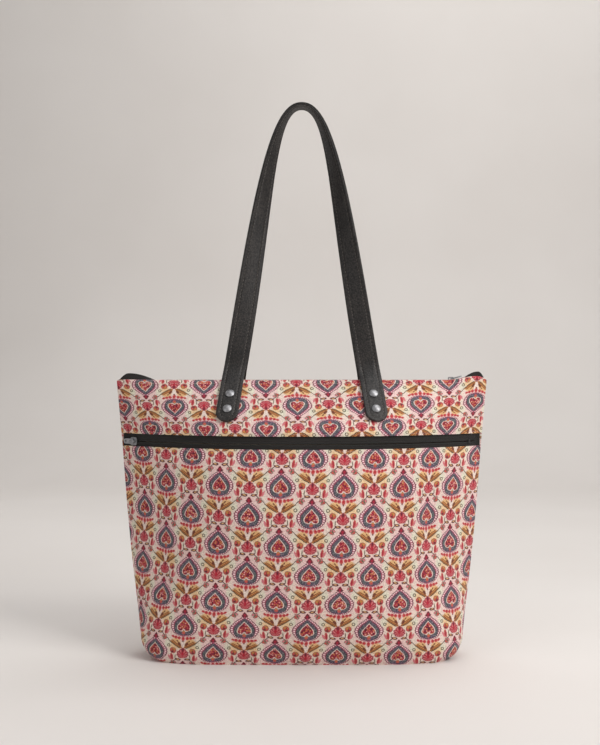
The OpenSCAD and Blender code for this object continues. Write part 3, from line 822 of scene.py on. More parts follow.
@dataclass(frozen=True)
class NickelPlate:
    """Brushed nickel plating with fine scratches."""

    name: str = "nickel_plate"
    light: Colour = srgb(182, 182, 184)
    dark: Colour = srgb(132, 132, 136)
    streak: float = 600.0
    stretch: float = 6.0
    cloud: float = 160.0
    relief: float = 0.00002

    def material(self) -> Material:
        """Makes the plating's material.

        Returns:
            The material.
        """
        sheet = NodeSheet(self.name)
        vector, x, y, z = sheet.coordinates()
        deep, up = (sheet.math("MULTIPLY", part, self.stretch) for part in (y, z))
        streaks = sheet.noise(sheet.vector(x, deep, up), self.streak, 3)
        cloud = sheet.noise(vector, self.cloud)
        sheet.bump(streaks, self.relief, 0.5)
        return sheet.surface(Base_Color=sheet.mix(cloud, self.dark, self.light), Metallic=1.0,
                             Roughness=sheet.math("MULTIPLY_ADD", streaks, 0.2, 0.4))


@dataclass(frozen=True)
class NylonCoil:
    """Black nylon coil with the turns of the coil in relief, with painted highlight on their ridges and painted shade
    between them.
    """

    name: str = "nylon_coil"
    dark: Colour = srgb(20, 20, 21)
    light: Colour = srgb(52, 52, 54)
    pitch: float = 1.2
    slant: float = 0.4
    relief: float = 0.0003

    def material(self) -> Material:
        """Makes the coil's material.

        Returns:
            The material.
        """
        sheet = NodeSheet(self.name)
        _, x, _, z = sheet.coordinates()
        turns = sheet.wave(sheet.math("MULTIPLY_ADD", z, self.slant, x), self.pitch * MM)
        sheet.bump(turns, self.relief, 0.9)
        # Painted highlight and shade: the colour follows the coil's turns, lighter on their ridges and darker between
        # them.
        tone = sheet.math("MULTIPLY_ADD", turns, 0.5, 0.5)
        return sheet.surface(Base_Color=sheet.mix(tone, self.dark, self.light), Roughness=0.42)


@dataclass(frozen=True)
class StudioPaint:
    """Matt pale paint of the floor and backdrop, with a faint mottle."""

    name: str = "studio_paint"
    light: Colour = srgb(226, 222, 219)
    dark: Colour = srgb(216, 211, 207)
    mottle: float = 2.5

    def material(self) -> Material:
        """Makes the paint's material.

        Returns:
            The material.
        """
        sheet = NodeSheet(self.name)
        vector, *_ = sheet.coordinates()
        tone = sheet.noise(vector, self.mottle)
        return sheet.surface(Base_Color=sheet.mix(tone, self.dark, self.light), Roughness=0.75)


@dataclass(frozen=True)
class BagForm:
    """The bag's outer form in millimetres: rows of half width, half depth, height and two plan exponents."""

    top_w: float = 432.0
    top_d: float = 40.0
    bag_h: float = 320.0
    waist_w: float = 418.0
    waist_d: float = 144.0
    base_w: float = 336.0
    base_d: float = 92.0
    foot_w: float = 367.0
    foot_round: float = 40.0
    side_bulge: float = 2.5
    foot_d: float = 144.0
    foot_rise: float = 0.205
    belly_d: float = 210.0
    belly_rise: float = 0.7125
    square: float = 3.0
    square_fade: float = 6.0
    corner_fade: float = 5.0
    flat_waist: float = 0.18
    flat_top: float = 2.0
    waist_lo: float = 243.5
    waist_hi: float = 258.0
    waist_top: float = 262.0
    cloth_t: float = 1.2
    seam_bulk: float = 2.0
    hem_w: float = 8.0
    hem_turn: float = 3.0
    lining_in: float = 7.3
    lining_near: float = 1.7
    lining_side: float = 22.5
    lining_ease: float = 40.0
    ear_from: float = 170.0
    ear_to: float = 203.0
    ear_left: float = 0.3
    ear_right: float = 4.4
    ear_low: float = 284.0
    ear_fade: float = 1.5
    wall_bias: float = 1.4

    def ear_lift(self, x: Array, z: Array) -> Array:
        """How far the cloth rises towards the corners under the top zip's ends.

        Args:
            x: Places across the bag.
            z: Heights.

        Returns:
            The rise, which is full at the top edge.
        """
        reach = ramp(np.abs(x) - self.ear_from, self.ear_to - self.ear_from)
        corner = ramp(np.abs(x) - self.ear_to, self.top_w / 2 - self.ear_to)
        high = np.where(x > 0, self.ear_right, self.ear_left)
        swell = reach * reach * (3 - 2 * reach) * (1 - corner ** 2)
        return high * swell * ramp(z - self.ear_low, self.bag_h - self.ear_low) ** self.ear_fade

    @property
    def band_lean(self) -> float:
        """Lean of the band above the pocket zip, in radians."""
        return math.atan((self.waist_d - self.top_d) / 2 / (self.bag_h - self.waist_top))

    def wall_places(self, steps: int) -> Array:
        """Places on the wall's profile, closer together at the base."""
        return np.linspace(0, 1, steps) ** self.wall_bias

    def wall(self, t: Array, depth: Array | float = 0.0, side: Array | float = 0.0) -> Array:
        """Rows of the wall below the pocket zip.

        Args:
            t: Places on the wall's profile, from 0 at the base to 1 at the zip.
            depth: How far in from the face.
            side: How far in from the side seams.

        Returns:
            One row per place.
        """
        control = np.array([[self.base_d / 2, 0], [self.foot_d / 2, self.foot_rise * self.waist_lo],
                            [self.belly_d / 2, self.belly_rise * self.waist_lo], [self.waist_d / 2, self.waist_lo]])
        point, slope = bezier(control, t)
        b, z = point[:, 0], point[:, 1]
        share = z / self.waist_lo
        corner = (self.foot_w - self.base_w) / 2 * np.maximum(0, 1 - z / self.foot_round) ** self.corner_fade
        a = ((self.foot_w + (self.waist_w - self.foot_w) * share) / 2
             + self.side_bulge * np.sin(np.pi * share) - corner)
        square = np.maximum(0, 1 - share) ** self.square_fade
        return np.stack([a - side * slope[:, 1], b - depth * slope[:, 1], z + depth * slope[:, 0],
                         2 + self.flat_waist + self.square * square, 1 + self.square * square], 1)

    def band(self, z: Array, depth: Array | float = 0.0, side: Array | float = 0.0) -> Array:
        """Rows between the pocket zip and the top edge.

        Args:
            z: Heights.
            depth: How far in from the face.
            side: How far in from the side seams.

        Returns:
            One row per height.
        """
        z = np.asarray(z, float)
        up = (z - self.waist_lo) / (self.bag_h - self.waist_lo)
        lean = np.maximum(0, (z - self.waist_top) / (self.bag_h - self.waist_top))
        inset = np.where(lean > 0, depth / math.cos(self.band_lean), depth)
        return np.stack([(self.waist_w + (self.top_w - self.waist_w) * up) / 2 - side,
                         (self.waist_d + (self.top_d - self.waist_d) * lean) / 2 - inset, z,
                         2 + self.flat_waist + (self.flat_top - self.flat_waist) * lean, np.ones_like(z)], 1)

    def hem(self, depth: float, steps: int) -> Array:
        """Rows round the folded top edge and over the hem.

        Args:
            depth: How far in from the face.
            steps: How many rows.

        Returns:
            The rows, from the band to the hem's inner edge.
        """
        side = self.seam_bulk * depth
        start = self.band(np.array([self.bag_h - self.hem_turn]), depth, side)[0]
        top = self.band(np.array([self.bag_h]))[0]
        corner = top - np.array([side, depth, depth, 0, 0])
        inner = np.array([top[0] - self.seam_bulk * self.cloth_t, top[1] - self.hem_w, self.bag_h - depth, *top[3:]])
        after = corner + (inner - corner) * self.hem_turn / self.hem_w
        k = np.linspace(0, 1, steps - 2)[:, None]
        turn = (1 - k) ** 2 * start + 2 * (1 - k) * k * corner + k * k * after
        return np.concatenate([turn, [(after + inner) / 2, inner]])

    def lining_depth(self, z: Array) -> Array:
        """How far in the lining lies at some heights."""
        ease = ramp(np.minimum(z, self.bag_h - z), self.lining_ease)
        return self.lining_near + (self.lining_in - self.lining_near) * ease

    @staticmethod
    def points(rows: Array, shares: Array) -> Array:
        """Points of rows at shares of their half width.

        Args:
            rows: The rows.
            shares: Shares from -1 to 1.

        Returns:
            A grid of points on the front.
        """
        a, b, z, p, q = (rows[:, i][:, None] for i in range(5))
        y = -b * np.maximum(0, 1 - np.abs(shares[None, :]) ** p) ** (1 / q)
        return np.stack([a * shares[None, :], y, np.broadcast_to(z, y.shape)], -1)

    def band_point(self, x: float, z: float) -> Array:
        """Point of the band's face at x and z."""
        row = self.band(np.array([z]))
        return self.points(row, np.array([x / row[0, 0]]))[0, 0]

    def band_normal(self, x: float, z: float) -> Array:
        """Outward normal of the band's face at x and z."""
        across = self.band_point(x + 0.5, z) - self.band_point(x - 0.5, z)
        up = self.band_point(x, z + 0.5) - self.band_point(x, z - 0.5)
        return unit(np.cross(across, up))


def unit(vector: Array) -> Array:
    """The vectors at length 1."""
    return vector / np.linalg.norm(vector, axis=-1, keepdims=True)


def ramp(value: Array, reach: float) -> Array:
    """Rises from 0 to 1 as a value goes from 0 to a reach."""
    return np.clip(value / reach, 0, 1)


def bezier(control: Array, t: Array) -> tuple[Array, Array]:
    """Points and directions of a cubic curve.

    Args:
        control: Its four control points.
        t: Places on it, from 0 to 1.

    Returns:
        The points, and the directions at length 1.
    """
    k = t[:, None]
    points = ((1 - k) ** 3 * control[0] + 3 * (1 - k) ** 2 * k * control[1]
              + 3 * (1 - k) * k * k * control[2] + k ** 3 * control[3])
    slopes = ((1 - k) ** 2 * (control[1] - control[0]) + 2 * (1 - k) * k * (control[2] - control[1])
              + k * k * (control[3] - control[2]))
    return points, unit(slopes)


def columns(count: int) -> Array:
    """Shares of a row's half width, closer together at the side seams."""
    return np.sin(np.linspace(-np.pi / 2, np.pi / 2, count))


def normals(points: Array) -> Array:
    """Outward normals of a grid of points on the front.

    Args:
        points: The grid, rows upwards and columns to the right.

    Returns:
        A normal for each point.
    """
    cross = np.cross(np.gradient(points, axis=1), np.gradient(points, axis=0))
    cross[np.linalg.norm(cross, axis=-1) < TINY] = (0, -1, 0)
    return unit(cross)


def lengths(points: Array) -> tuple[Array, Array]:
    """Lengths over a grid: along each row from its middle, and up the middle column.

    Args:
        points: The grid.

    Returns:
        Both lengths for each point.
    """
    middle = points.shape[1] // 2
    along = np.cumsum(np.linalg.norm(np.diff(points, axis=1, prepend=points[:, :1]), axis=2), axis=1)
    along -= along[:, middle:middle + 1]
    up = np.cumsum(np.linalg.norm(np.diff(points[:, middle], axis=0, prepend=points[:1, middle]), axis=1))
    return along, np.broadcast_to(up[:, None], along.shape)


def new_mesh(name: str, points: Array, faces: Sequence[Sequence[int]], uv: Array | None = None) -> Piece:
    """Makes a mesh piece from points in millimetres.

    Args:
        name: The piece's name.
        points: Its points.
        faces: Its faces, as indices of points.
        uv: Each point's place in the UV map, in millimetres.

    Returns:
        The piece, with its faces turned outwards and smoothed.
    """
    mesh = bpy.data.meshes.new(name)
    mesh.from_pydata((points * MM).tolist(), [], [list(face) for face in faces])
    if uv is not None:
        layer = mesh.uv_layers.new(name="print")
        corner = np.empty(len(mesh.loops), np.int32)
        mesh.loops.foreach_get("vertex_index", corner)
        layer.data.foreach_set("uv", (uv[corner] * MM).astype(np.float32).ravel())
    piece = bpy.data.objects.new(name, mesh)
    bpy.context.scene.collection.objects.link(piece)
    bpy.ops.object.select_all(action="DESELECT")
    piece.select_set(True)
    bpy.context.view_layer.objects.active = piece
    bpy.ops.object.mode_set(mode="EDIT")
    bpy.ops.mesh.select_all(action="SELECT")
    bpy.ops.mesh.normals_make_consistent(inside=False)
    bpy.ops.object.mode_set(mode="OBJECT")
    bpy.ops.object.shade_smooth_by_angle(angle=SMOOTH_ANGLE)
    return piece


def quads(grid: Array, closed: bool = False) -> Array:
    """Quads over a grid of point numbers.

    Args:
        grid: The point numbers.
        closed: Whether the columns run all the way round.

    Returns:
        The quads.
    """
    if closed:
        grid = np.concatenate([grid, grid[:, :1]], 1)
    return np.stack([grid[:-1, :-1], grid[:-1, 1:], grid[1:, 1:], grid[1:, :-1]], -1).reshape(-1, 4)


def sheet_piece(name: str, outer: Array, inner: Array, uv: Array | None = None) -> Piece:
    """Makes a closed sheet between two like grids of points.

    Args:
        name: The piece's name.
        outer: The face's points.
        inner: The back's points.
        uv: Each face point's place in the UV map.

    Returns:
        The piece.
    """
    count = outer.shape[0] * outer.shape[1]
    front = np.arange(count).reshape(outer.shape[:2])
    loop = np.concatenate([front[0, :-1], front[:-1, -1], front[-1, :0:-1], front[:0:-1, 0]])
    after = np.roll(loop, -1)
    faces = np.concatenate([quads(front), quads(front)[:, ::-1] + count,
                            np.stack([loop, loop + count, after + count, after], -1)])
    if uv is not None:
        uv = np.concatenate([uv.reshape(-1, 2)] * 2)
    return new_mesh(name, np.concatenate([outer.reshape(-1, 3), inner.reshape(-1, 3)]), faces.tolist(), uv)


def cut_size(points: Array) -> tuple[tuple[float, float], float]:
    """The flat size of a sheet from its face, in metres.

    Args:
        points: The face's points in millimetres.

    Returns:
        Width and length of the cut, and its area.
    """
    along, up = lengths(points)
    width, length = np.ptp(along, axis=1).max(), up.max()
    across, rise = np.diff(points, axis=1)[:-1], np.diff(points, axis=0)[:, :-1]
    area = np.linalg.norm(np.cross(across, rise), axis=2).sum()
    return (round(width * MM, 4), round(length * MM, 4)), round(min(area, width * length) * MM * MM, 5)


def finish_piece(piece: Piece, material: Material, slot: Slot, *nodes: str) -> None:
    """Dresses a piece, and lets it ride on the bag and stand for CAD nodes.

    Args:
        piece: The piece.
        material: Its material.
        slot: The record's slot of that finish; not used.
        nodes: The CAD nodes that it stands for.
    """
    piece.data.materials.append(material)
    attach(piece, Body.BAG.value)
    if nodes:
        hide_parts(*nodes)
    LOG.info("%s: %d faces in %s", piece.name, len(piece.data.polygons), material.name)


def dress_node(material: Material, *names: str) -> None:
    """Gives CAD nodes that stay their material.

    Args:
        material: The material.
        names: The nodes.
    """
    for name in names:
        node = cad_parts[name]
        node.data.materials.clear()
        node.data.materials.append(material)
        LOG.info("%s: kept in %s", name, material.name)


@dataclass
class Stitches:
    """Rows of sewn stitches, all copies of one modelled stitch."""

    length: float = 2.9
    pitch: float = 3.9
    radius: float = 0.34
    flatness: float = 0.8
    pattern: tuple[Array, list[list[int]]] = field(init=False)

    def __post_init__(self) -> None:
        """Models the one stitch, along X with Z outwards."""
        bpy.ops.object.select_all(action="DESELECT")
        bpy.ops.mesh.primitive_uv_sphere_add(segments=6, ring_count=4, radius=1.0)
        model = bpy.context.object
        bpy.ops.object.mode_set(mode="EDIT")
        bpy.ops.mesh.select_all(action="SELECT")
        bpy.ops.transform.rotate(value=math.pi / 2, orient_axis="Y", center_override=(0, 0, 0))
        bpy.ops.transform.resize(value=(self.length / 2, self.radius, self.radius * self.flatness))
        bpy.ops.object.mode_set(mode="OBJECT")
        points = np.array([vertex.co for vertex in model.data.vertices])
        # The operator's face order changes from run to run; sorted, the mesh is the same each time.
        faces = sorted(list(face.vertices) for face in model.data.polygons)
        self.pattern = points, faces
        bpy.data.objects.remove(model)

    def along(self, path: Array, outward: Array) -> list[tuple[Array, Array, Array]]:
        """Places stitches along a path.

        Args:
            path: Points of the path.
            outward: The cloth's or leather's outward normal at each point.

        Returns:
            Middle, direction and normal of each stitch.
        """
        run = np.concatenate([[0], np.cumsum(np.linalg.norm(np.diff(path, axis=0), axis=1))])
        count = int((run[-1] - self.length) / self.pitch)
        middles = (run[-1] - (count - 1) * self.pitch) / 2 + self.pitch * np.arange(count)

        def at(place: Array, values: Array) -> Array:
            """Values at places along the path."""
            return np.stack([np.interp(place, run, values[:, axis]) for axis in range(3)], -1)
        ahead, behind = at(middles + self.length / 2, path), at(middles - self.length / 2, path)
        return list(zip((ahead + behind) / 2, unit(ahead - behind), unit(at(middles, outward))))

    def piece(self, name: str, places: list[tuple[Array, Array, Array]]) -> Piece:
        """Copies the stitch to many places in one piece.

        Args:
            name: The piece's name.
            places: Middle, direction and normal of each stitch.

        Returns:
            The piece.
        """
        pattern, faces = self.pattern
        points, all_faces = [], []
        for index, (middle, along, out) in enumerate(places):
            side = unit(np.cross(out, along))
            points.append(middle + pattern @ np.stack([along, side, np.cross(along, side)]))
            all_faces.extend([[v + index * len(pattern) for v in face] for face in faces])
        return new_mesh(name, np.concatenate(points), all_faces)


@dataclass(frozen=True)
class Lattice:
    """How the print lies on a panel: the start, slant and pitch of its columns and of its rows."""

    start: float
    shear: float
    column: float
    low: float
    tilt: float
    row: float

    def places(self, u: Array, v: Array) -> tuple[Array, Array]:
        """Column and row of the print at lengths along and up a panel."""
        return (u - self.start - self.shear * v) / self.column, (v - self.low - self.tilt * u) / self.row


@dataclass(frozen=True)
class Swell:
    """Slack cloth as the product of two waves, each with its lengths in x and z and its phase."""

    height: float
    waves: tuple[Place, Place]

    def offset(self, x: Array, z: Array) -> Array:
        """How far the cloth stands out."""
        first, second = (np.sin(x / along + z / up + phase) for along, up, phase in self.waves)
        return self.height * first * second


@dataclass(frozen=True)
class Fold:
    """A fold that starts at a place and height and leans, with its width, height and length."""

    at: float
    lean: float
    width: float
    height: float
    base: float
    tall: float

    def offset(self, x: Array, z: Array) -> Array:
        """How far the cloth stands out."""
        across, up = x - self.at - self.lean * (z - self.base), z - self.base
        return self.height * np.exp(-(across / self.width) ** 2 - (up / self.tall) ** 2)


@dataclass(frozen=True)
class Gather:
    """Puckers along a seam: height, wave, how far and how slowly that wave sways, and where they fade."""

    height: float
    wave: float
    sway: float
    sway_wave: float
    fade: float

    def offset(self, along: Array, away: Array) -> Array:
        """How far the cloth stands out at places along the seam and away from it."""
        phase = along / self.wave + self.sway * np.sin(along / self.sway_wave)
        return self.height * np.sin(phase) * np.exp(-away / self.fade)


@dataclass
class ClothShell:
    """The printed outer bag: front panel, band with hem, back panel with hem and base."""

    form: BagForm
    across: int = 181
    wall_steps: int = 110
    band_steps: int = 34
    hem_steps: int = 9
    column: float = 34.6
    half_period: float = 32.7
    wall_print: Lattice = Lattice(3.71, 0.0374, 34.57, 209.36, -0.0168, 32.55)
    band_print: Lattice = Lattice(-3.58, -0.0327, 35.27, 43.04, 0.0183, 33.35)
    swells: tuple[Swell, ...] = (
        Swell(0.9, ((31, 47, 0.6), (-90, 38, 1.1))), Swell(0.5, ((14, -60, 2.0), (math.inf, 23, 0.4))))
    folds: tuple[Fold, ...] = (
        Fold(-52, 0.05, 7, 2.8, 0, 46), Fold(4, -0.06, 6, 2.3, 0, 42), Fold(70, 0.08, 7, 2.7, 0, 50),
        Fold(-118, 0.1, 9, 1.8, 0, 60), Fold(146, 0.03, 8, -2.8, 165, 52), Fold(128, 0.02, 9, 1.8, 170, 55),
        Fold(-160, -0.05, 9, -1.8, 120, 60))
    foot_gather: Gather = Gather(0.75, 2.9, 1.3, 17, 9)
    top_gather: Gather = Gather(0.25, 2.1, 1.7, 23, 7)
    side_gather: Gather = Gather(0.35, 3.1, 1.5, 19, 0.03)
    side_ease: float = 0.05
    side_hold: float = 0.01
    low_ease: float = 10.0
    high_ease: float = 12.0
    seam_hold: float = 2.0
    band_slack: float = 0.45
    band_under: float = 2.0
    back_gap: float = 1.0
    base_strips: int = 25
    base_ripple: float = 0.25
    base_waves: tuple[float, float] = (21.0, 13.0)
    base_rise: float = 0.3
    base_ease: float = 3.0
    base_under: float = 0.5
    stitch_in: float = 2.2
    stitch_down: float = 4.2
    stitch_lift: float = 0.12
    stitch_share: float = 0.985
    stitch_steps: int = 400
    stitch_from: float = 0.9
    stitch_next: tuple[float, ...] = (0, -0.02, 0.5, 0, 0)

    def creases(self, points: Array, v: Array, reach: float) -> Array:
        """How far the cloth stands out or in over a panel: slack, folds and gathered seams.

        Args:
            points: The panel's points.
            v: Length up the panel from its lower edge.
            reach: Length of the panel up to its upper edge.

        Returns:
            The offset along the normal for each point.
        """
        x, z = points[..., 0], points[..., 2]
        from_side = 1 - np.abs(x) / np.abs(x).max(axis=1, keepdims=True)
        inside = ramp(from_side, self.side_ease)
        loose = sum(wave.offset(x, z) for wave in (*self.swells, *self.folds))
        loose = loose * inside * ramp(v, self.low_ease) * ramp(reach - v, self.high_ease)
        gathers = self.foot_gather.offset(x, v) + self.top_gather.offset(x, reach - v)
        gathers = gathers * inside * ramp(v, self.seam_hold) * ramp(reach - v, self.seam_hold)
        return loose + gathers + self.side_gather.offset(z, from_side) * ramp(from_side, self.side_hold)

    def print_map(self, u: Array, v: Array, face: Face, wall: bool) -> Array:
        """Print coordinates of a panel: tips up on the wall and the back, tips down on the band.

        Args:
            u: Length along each row from its middle.
            v: Length up from the panel's lower edge.
            face: The panel's side of the bag.
            wall: Whether it has the wall below the pocket zip.

        Returns:
            The UV map.
        """
        if wall:
            i, j = self.wall_print.places(u, v)
            return np.stack([(i * face.value - 1) * self.column, j * self.half_period], -1)
        i, j = self.band_print.places(u, v)
        return np.stack([i * self.column, -j * self.half_period], -1)

    def rows(self, depth: float, wall: bool, band: bool) -> Array:
        """Rows of a panel at its face or its back.

        Args:
            depth: How far in from the face.
            wall: Whether it has the wall below the pocket zip.
            band: Whether it has the band and hem above it.

        Returns:
            The rows, upwards.
        """
        form, side = self.form, self.form.seam_bulk * depth
        parts = []
        if wall:
            parts.append(form.wall(form.wall_places(self.wall_steps), depth, side))
        if band:
            low = form.waist_lo + self.back_gap if wall else form.waist_hi
            heights = np.linspace(low, form.bag_h - form.hem_turn, self.band_steps)[:-1]
            parts += [form.band(heights, depth, side), form.hem(depth, self.hem_steps)]
        return np.concatenate(parts)

    def panel(self, name: str, face: Face, wall: bool, band: bool) -> tuple[Piece, Array]:
        """Builds one panel.

        Args:
            name: The piece's name.
            face: Its side of the bag.
            wall: Whether it has the wall below the pocket zip.
            band: Whether it has the band and hem above it.

        Returns:
            The piece and its face's points.
        """
        form, shares = self.form, columns(self.across)
        outer, inner = (form.points(self.rows(depth, wall, band), shares) for depth in (0.0, form.cloth_t))
        u, v = lengths(outer)
        x, z = outer[..., 0], outer[..., 2]
        offset = self.creases(outer, v, v.max() - (form.hem_w if band else 0))
        if band:
            offset = np.where(z > form.waist_hi - self.band_under, offset * self.band_slack, offset)
        move = normals(outer) * offset[..., None] + form.ear_lift(x, z)[..., None] * UP
        outer, inner = ((grid + move) * (1, face.value, 1) for grid in (outer, inner))
        return sheet_piece(name, outer, inner, self.print_map(u, v, face, wall)), outer

    def base(self) -> tuple[Piece, Array]:
        """Builds the base inside the lower edges of the walls.

        Returns:
            The piece and its lower face's points.
        """
        near, bulk = self.form.lining_near, self.form.seam_bulk
        edge = self.form.points(self.form.wall(np.array([0.0]), near, bulk * near), columns(self.across))[0]
        shares = np.linspace(1, -1, self.base_strips)
        low = np.array([edge * (1, share, 0) for share in shares])
        ripple = np.sin(low[..., 0] / self.base_waves[0]) * np.sin(low[..., 1] / self.base_waves[1])
        rise = self.base_ripple * ripple + self.base_rise
        rise *= np.clip((1 - shares[:, None] ** 2) * self.base_ease, 0, 1)
        high = low + (self.form.cloth_t + rise)[..., None] * UP
        low = low + np.maximum(0, rise * self.base_under)[..., None] * UP
        return sheet_piece("base_cloth", low, high, low[..., :2]), low

    def seams(self, stitches: Stitches) -> Piece:
        """Sews the topstitching beside the pocket zip and along the top edge.

        Args:
            stitches: The stitch to copy.

        Returns:
            The piece.
        """
        form, shares = self.form, np.linspace(-self.stitch_share, self.stitch_share, self.stitch_steps)
        wall = form.wall(np.linspace(self.stitch_from, 1, self.stitch_steps))
        low = wall[np.argmin(np.abs(wall[:, 2] - form.waist_lo + self.stitch_in))]
        high, top = form.band(np.array([form.waist_hi + self.stitch_in, form.bag_h - self.stitch_down]))
        places = []
        for row, sides in ((low, (1,)), (high, (1,)), (top, (1, -1))):
            grid = form.points(np.array([row, row + self.stitch_next]), shares)
            grid[..., 2] += form.ear_lift(grid[..., 0], grid[..., 2])
            out = normals(grid)[0]
            for side in sides:
                flip = np.array([1, side, 1])
                places += stitches.along(grid[0] * flip + out * flip * self.stitch_lift, out * flip)
        return stitches.piece("cloth_stitches", places)

    def build(self, cloth: Material, thread: Material) -> None:
        """Args:
            cloth: The printed cloth.
            thread: The sewing thread.
        """
        parts = [(*self.panel("front_cloth", Face.FRONT, True, False), "front_panel", "stretched"),
                 (*self.panel("band_cloth", Face.FRONT, False, True), "front_band", "stretched"),
                 (*self.panel("back_cloth", Face.BACK, True, True), "back_panel", "stretched"),
                 (*self.base(), "base_panel", "laid")]
        for piece, points, node, held in parts:
            finish_piece(piece, cloth, Slot.PRINT, node)
            flat, area = cut_size(points)
            if held == "laid":
                flat = tuple(round(float(side) * MM, 4) for side in np.ptp(points.reshape(-1, 3), axis=0)[:2])
        finish_piece(self.seams(Stitches(length=2.2, pitch=3.0, radius=0.2)), thread, Slot.PRINT)


@dataclass
class InnerCloth:
    """The plain lining bag and the pocket's back wall."""

    form: BagForm
    across: int = 61
    steps: int = 40
    band_steps: int = 12
    lining_t: float = 0.6
    lining_top: float = 317.0
    pocket_side: float = 20.0
    pocket_floor: float = 12.0
    layer_gap: float = 0.5
    free_z: float = 254.0
    sew_z: float = 260.5
    behind_tape: float = 3.0

    def ring(self, row: Array) -> Array:
        """One level of the lining, all the way round."""
        front = self.form.points(row[None], columns(self.across))[0]
        return np.concatenate([front[:-1], (front * (1, -1, 1))[:0:-1]])

    def lining(self) -> tuple[Piece, Array]:
        """Builds the lining as a bag with a closed floor.

        Returns:
            The piece and its outer points.
        """
        def rings(extra: float) -> Array:
            """Levels of one face of the lining.

            Args:
                extra: How far in from the outer face.

            Returns:
                The points of each level.
            """
            t = self.form.wall_places(self.steps)
            z = self.form.wall(t)[:, 2]
            wall = self.form.wall(t, self.form.lining_depth(z) + extra)
            wall[:, 0] -= self.form.lining_side + extra
            wall[:, 2] = np.maximum(wall[:, 2], self.form.lining_near + extra)
            high = np.linspace(self.form.waist_top, self.lining_top, self.band_steps)
            band = self.form.band(high, self.form.lining_depth(high) + extra, self.form.lining_side + extra)
            return np.array([self.ring(row) for row in (*wall, *band)])
        outer, inner = rings(0.0), rings(self.lining_t)
        count, around = outer.shape[0] * outer.shape[1], outer.shape[1]
        grid = np.arange(count).reshape(outer.shape[:2])
        rim = np.stack([grid[-1], np.roll(grid[-1], -1), np.roll(grid[-1], -1) + count, grid[-1] + count], -1)
        faces = [*quads(grid, True).tolist(), *(quads(grid, True)[:, ::-1] + count).tolist(), *rim.tolist(),
                 list(range(around)), list(range(count + around - 1, count - 1, -1))]
        return new_mesh("lining_cloth", np.concatenate([outer.reshape(-1, 3), inner.reshape(-1, 3)]), faces), outer

    def pocket(self) -> tuple[Piece, Array]:
        """Builds the pocket's back wall.

        Returns:
            The piece and its face's points.
        """
        def rows(extra: float) -> Array:
            """Rows of one face of the wall.

            Args:
                extra: How far in from the outer face.

            Returns:
                The rows, upwards.
            """
            t = self.form.wall_places(self.steps)
            z = self.form.wall(t)[:, 2]
            keep = z >= self.pocket_floor
            t, z = t[keep], z[keep]
            wall = self.form.wall(t, self.form.lining_depth(z) - self.layer_gap - self.lining_t + extra)
            wall[:, 0] -= self.pocket_side + extra
            free = self.form.lining_depth(np.array([self.free_z])) - self.layer_gap - self.lining_t + extra
            top = [self.form.band(np.array([self.free_z]), free, self.pocket_side + extra),
                   self.form.band(np.array([self.sew_z]), self.behind_tape + extra, self.pocket_side + extra)]
            return np.concatenate([wall, *top])
        shares = columns(self.across)
        outer, inner = self.form.points(rows(0.0), shares), self.form.points(rows(self.lining_t), shares)
        return sheet_piece("pocket_cloth", outer, inner), outer

    def build(self, cloth: Material) -> None:
        """Args:
            cloth: The lining's material.
        """
        for (piece, points), node in ((self.lining(), "lining"), (self.pocket(), "pocket_back")):
            finish_piece(piece, cloth, Slot.LINING, node)
            flat, area = cut_size(points)


@dataclass(frozen=True)
class ZipLook:
    """The materials of a zip's tapes, coils, slider with pull, and stops."""

    tape: Material
    coil: Material
    metal: Material
    stops: Material

    def dress(self, prefix: str) -> None:
        """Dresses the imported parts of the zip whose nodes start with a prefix."""
        dress_node(self.coil, f"{prefix}_coils")
        dress_node(self.metal, f"{prefix}_slider", f"{prefix}_pull")
        dress_node(self.stops, f"{prefix}_stops")


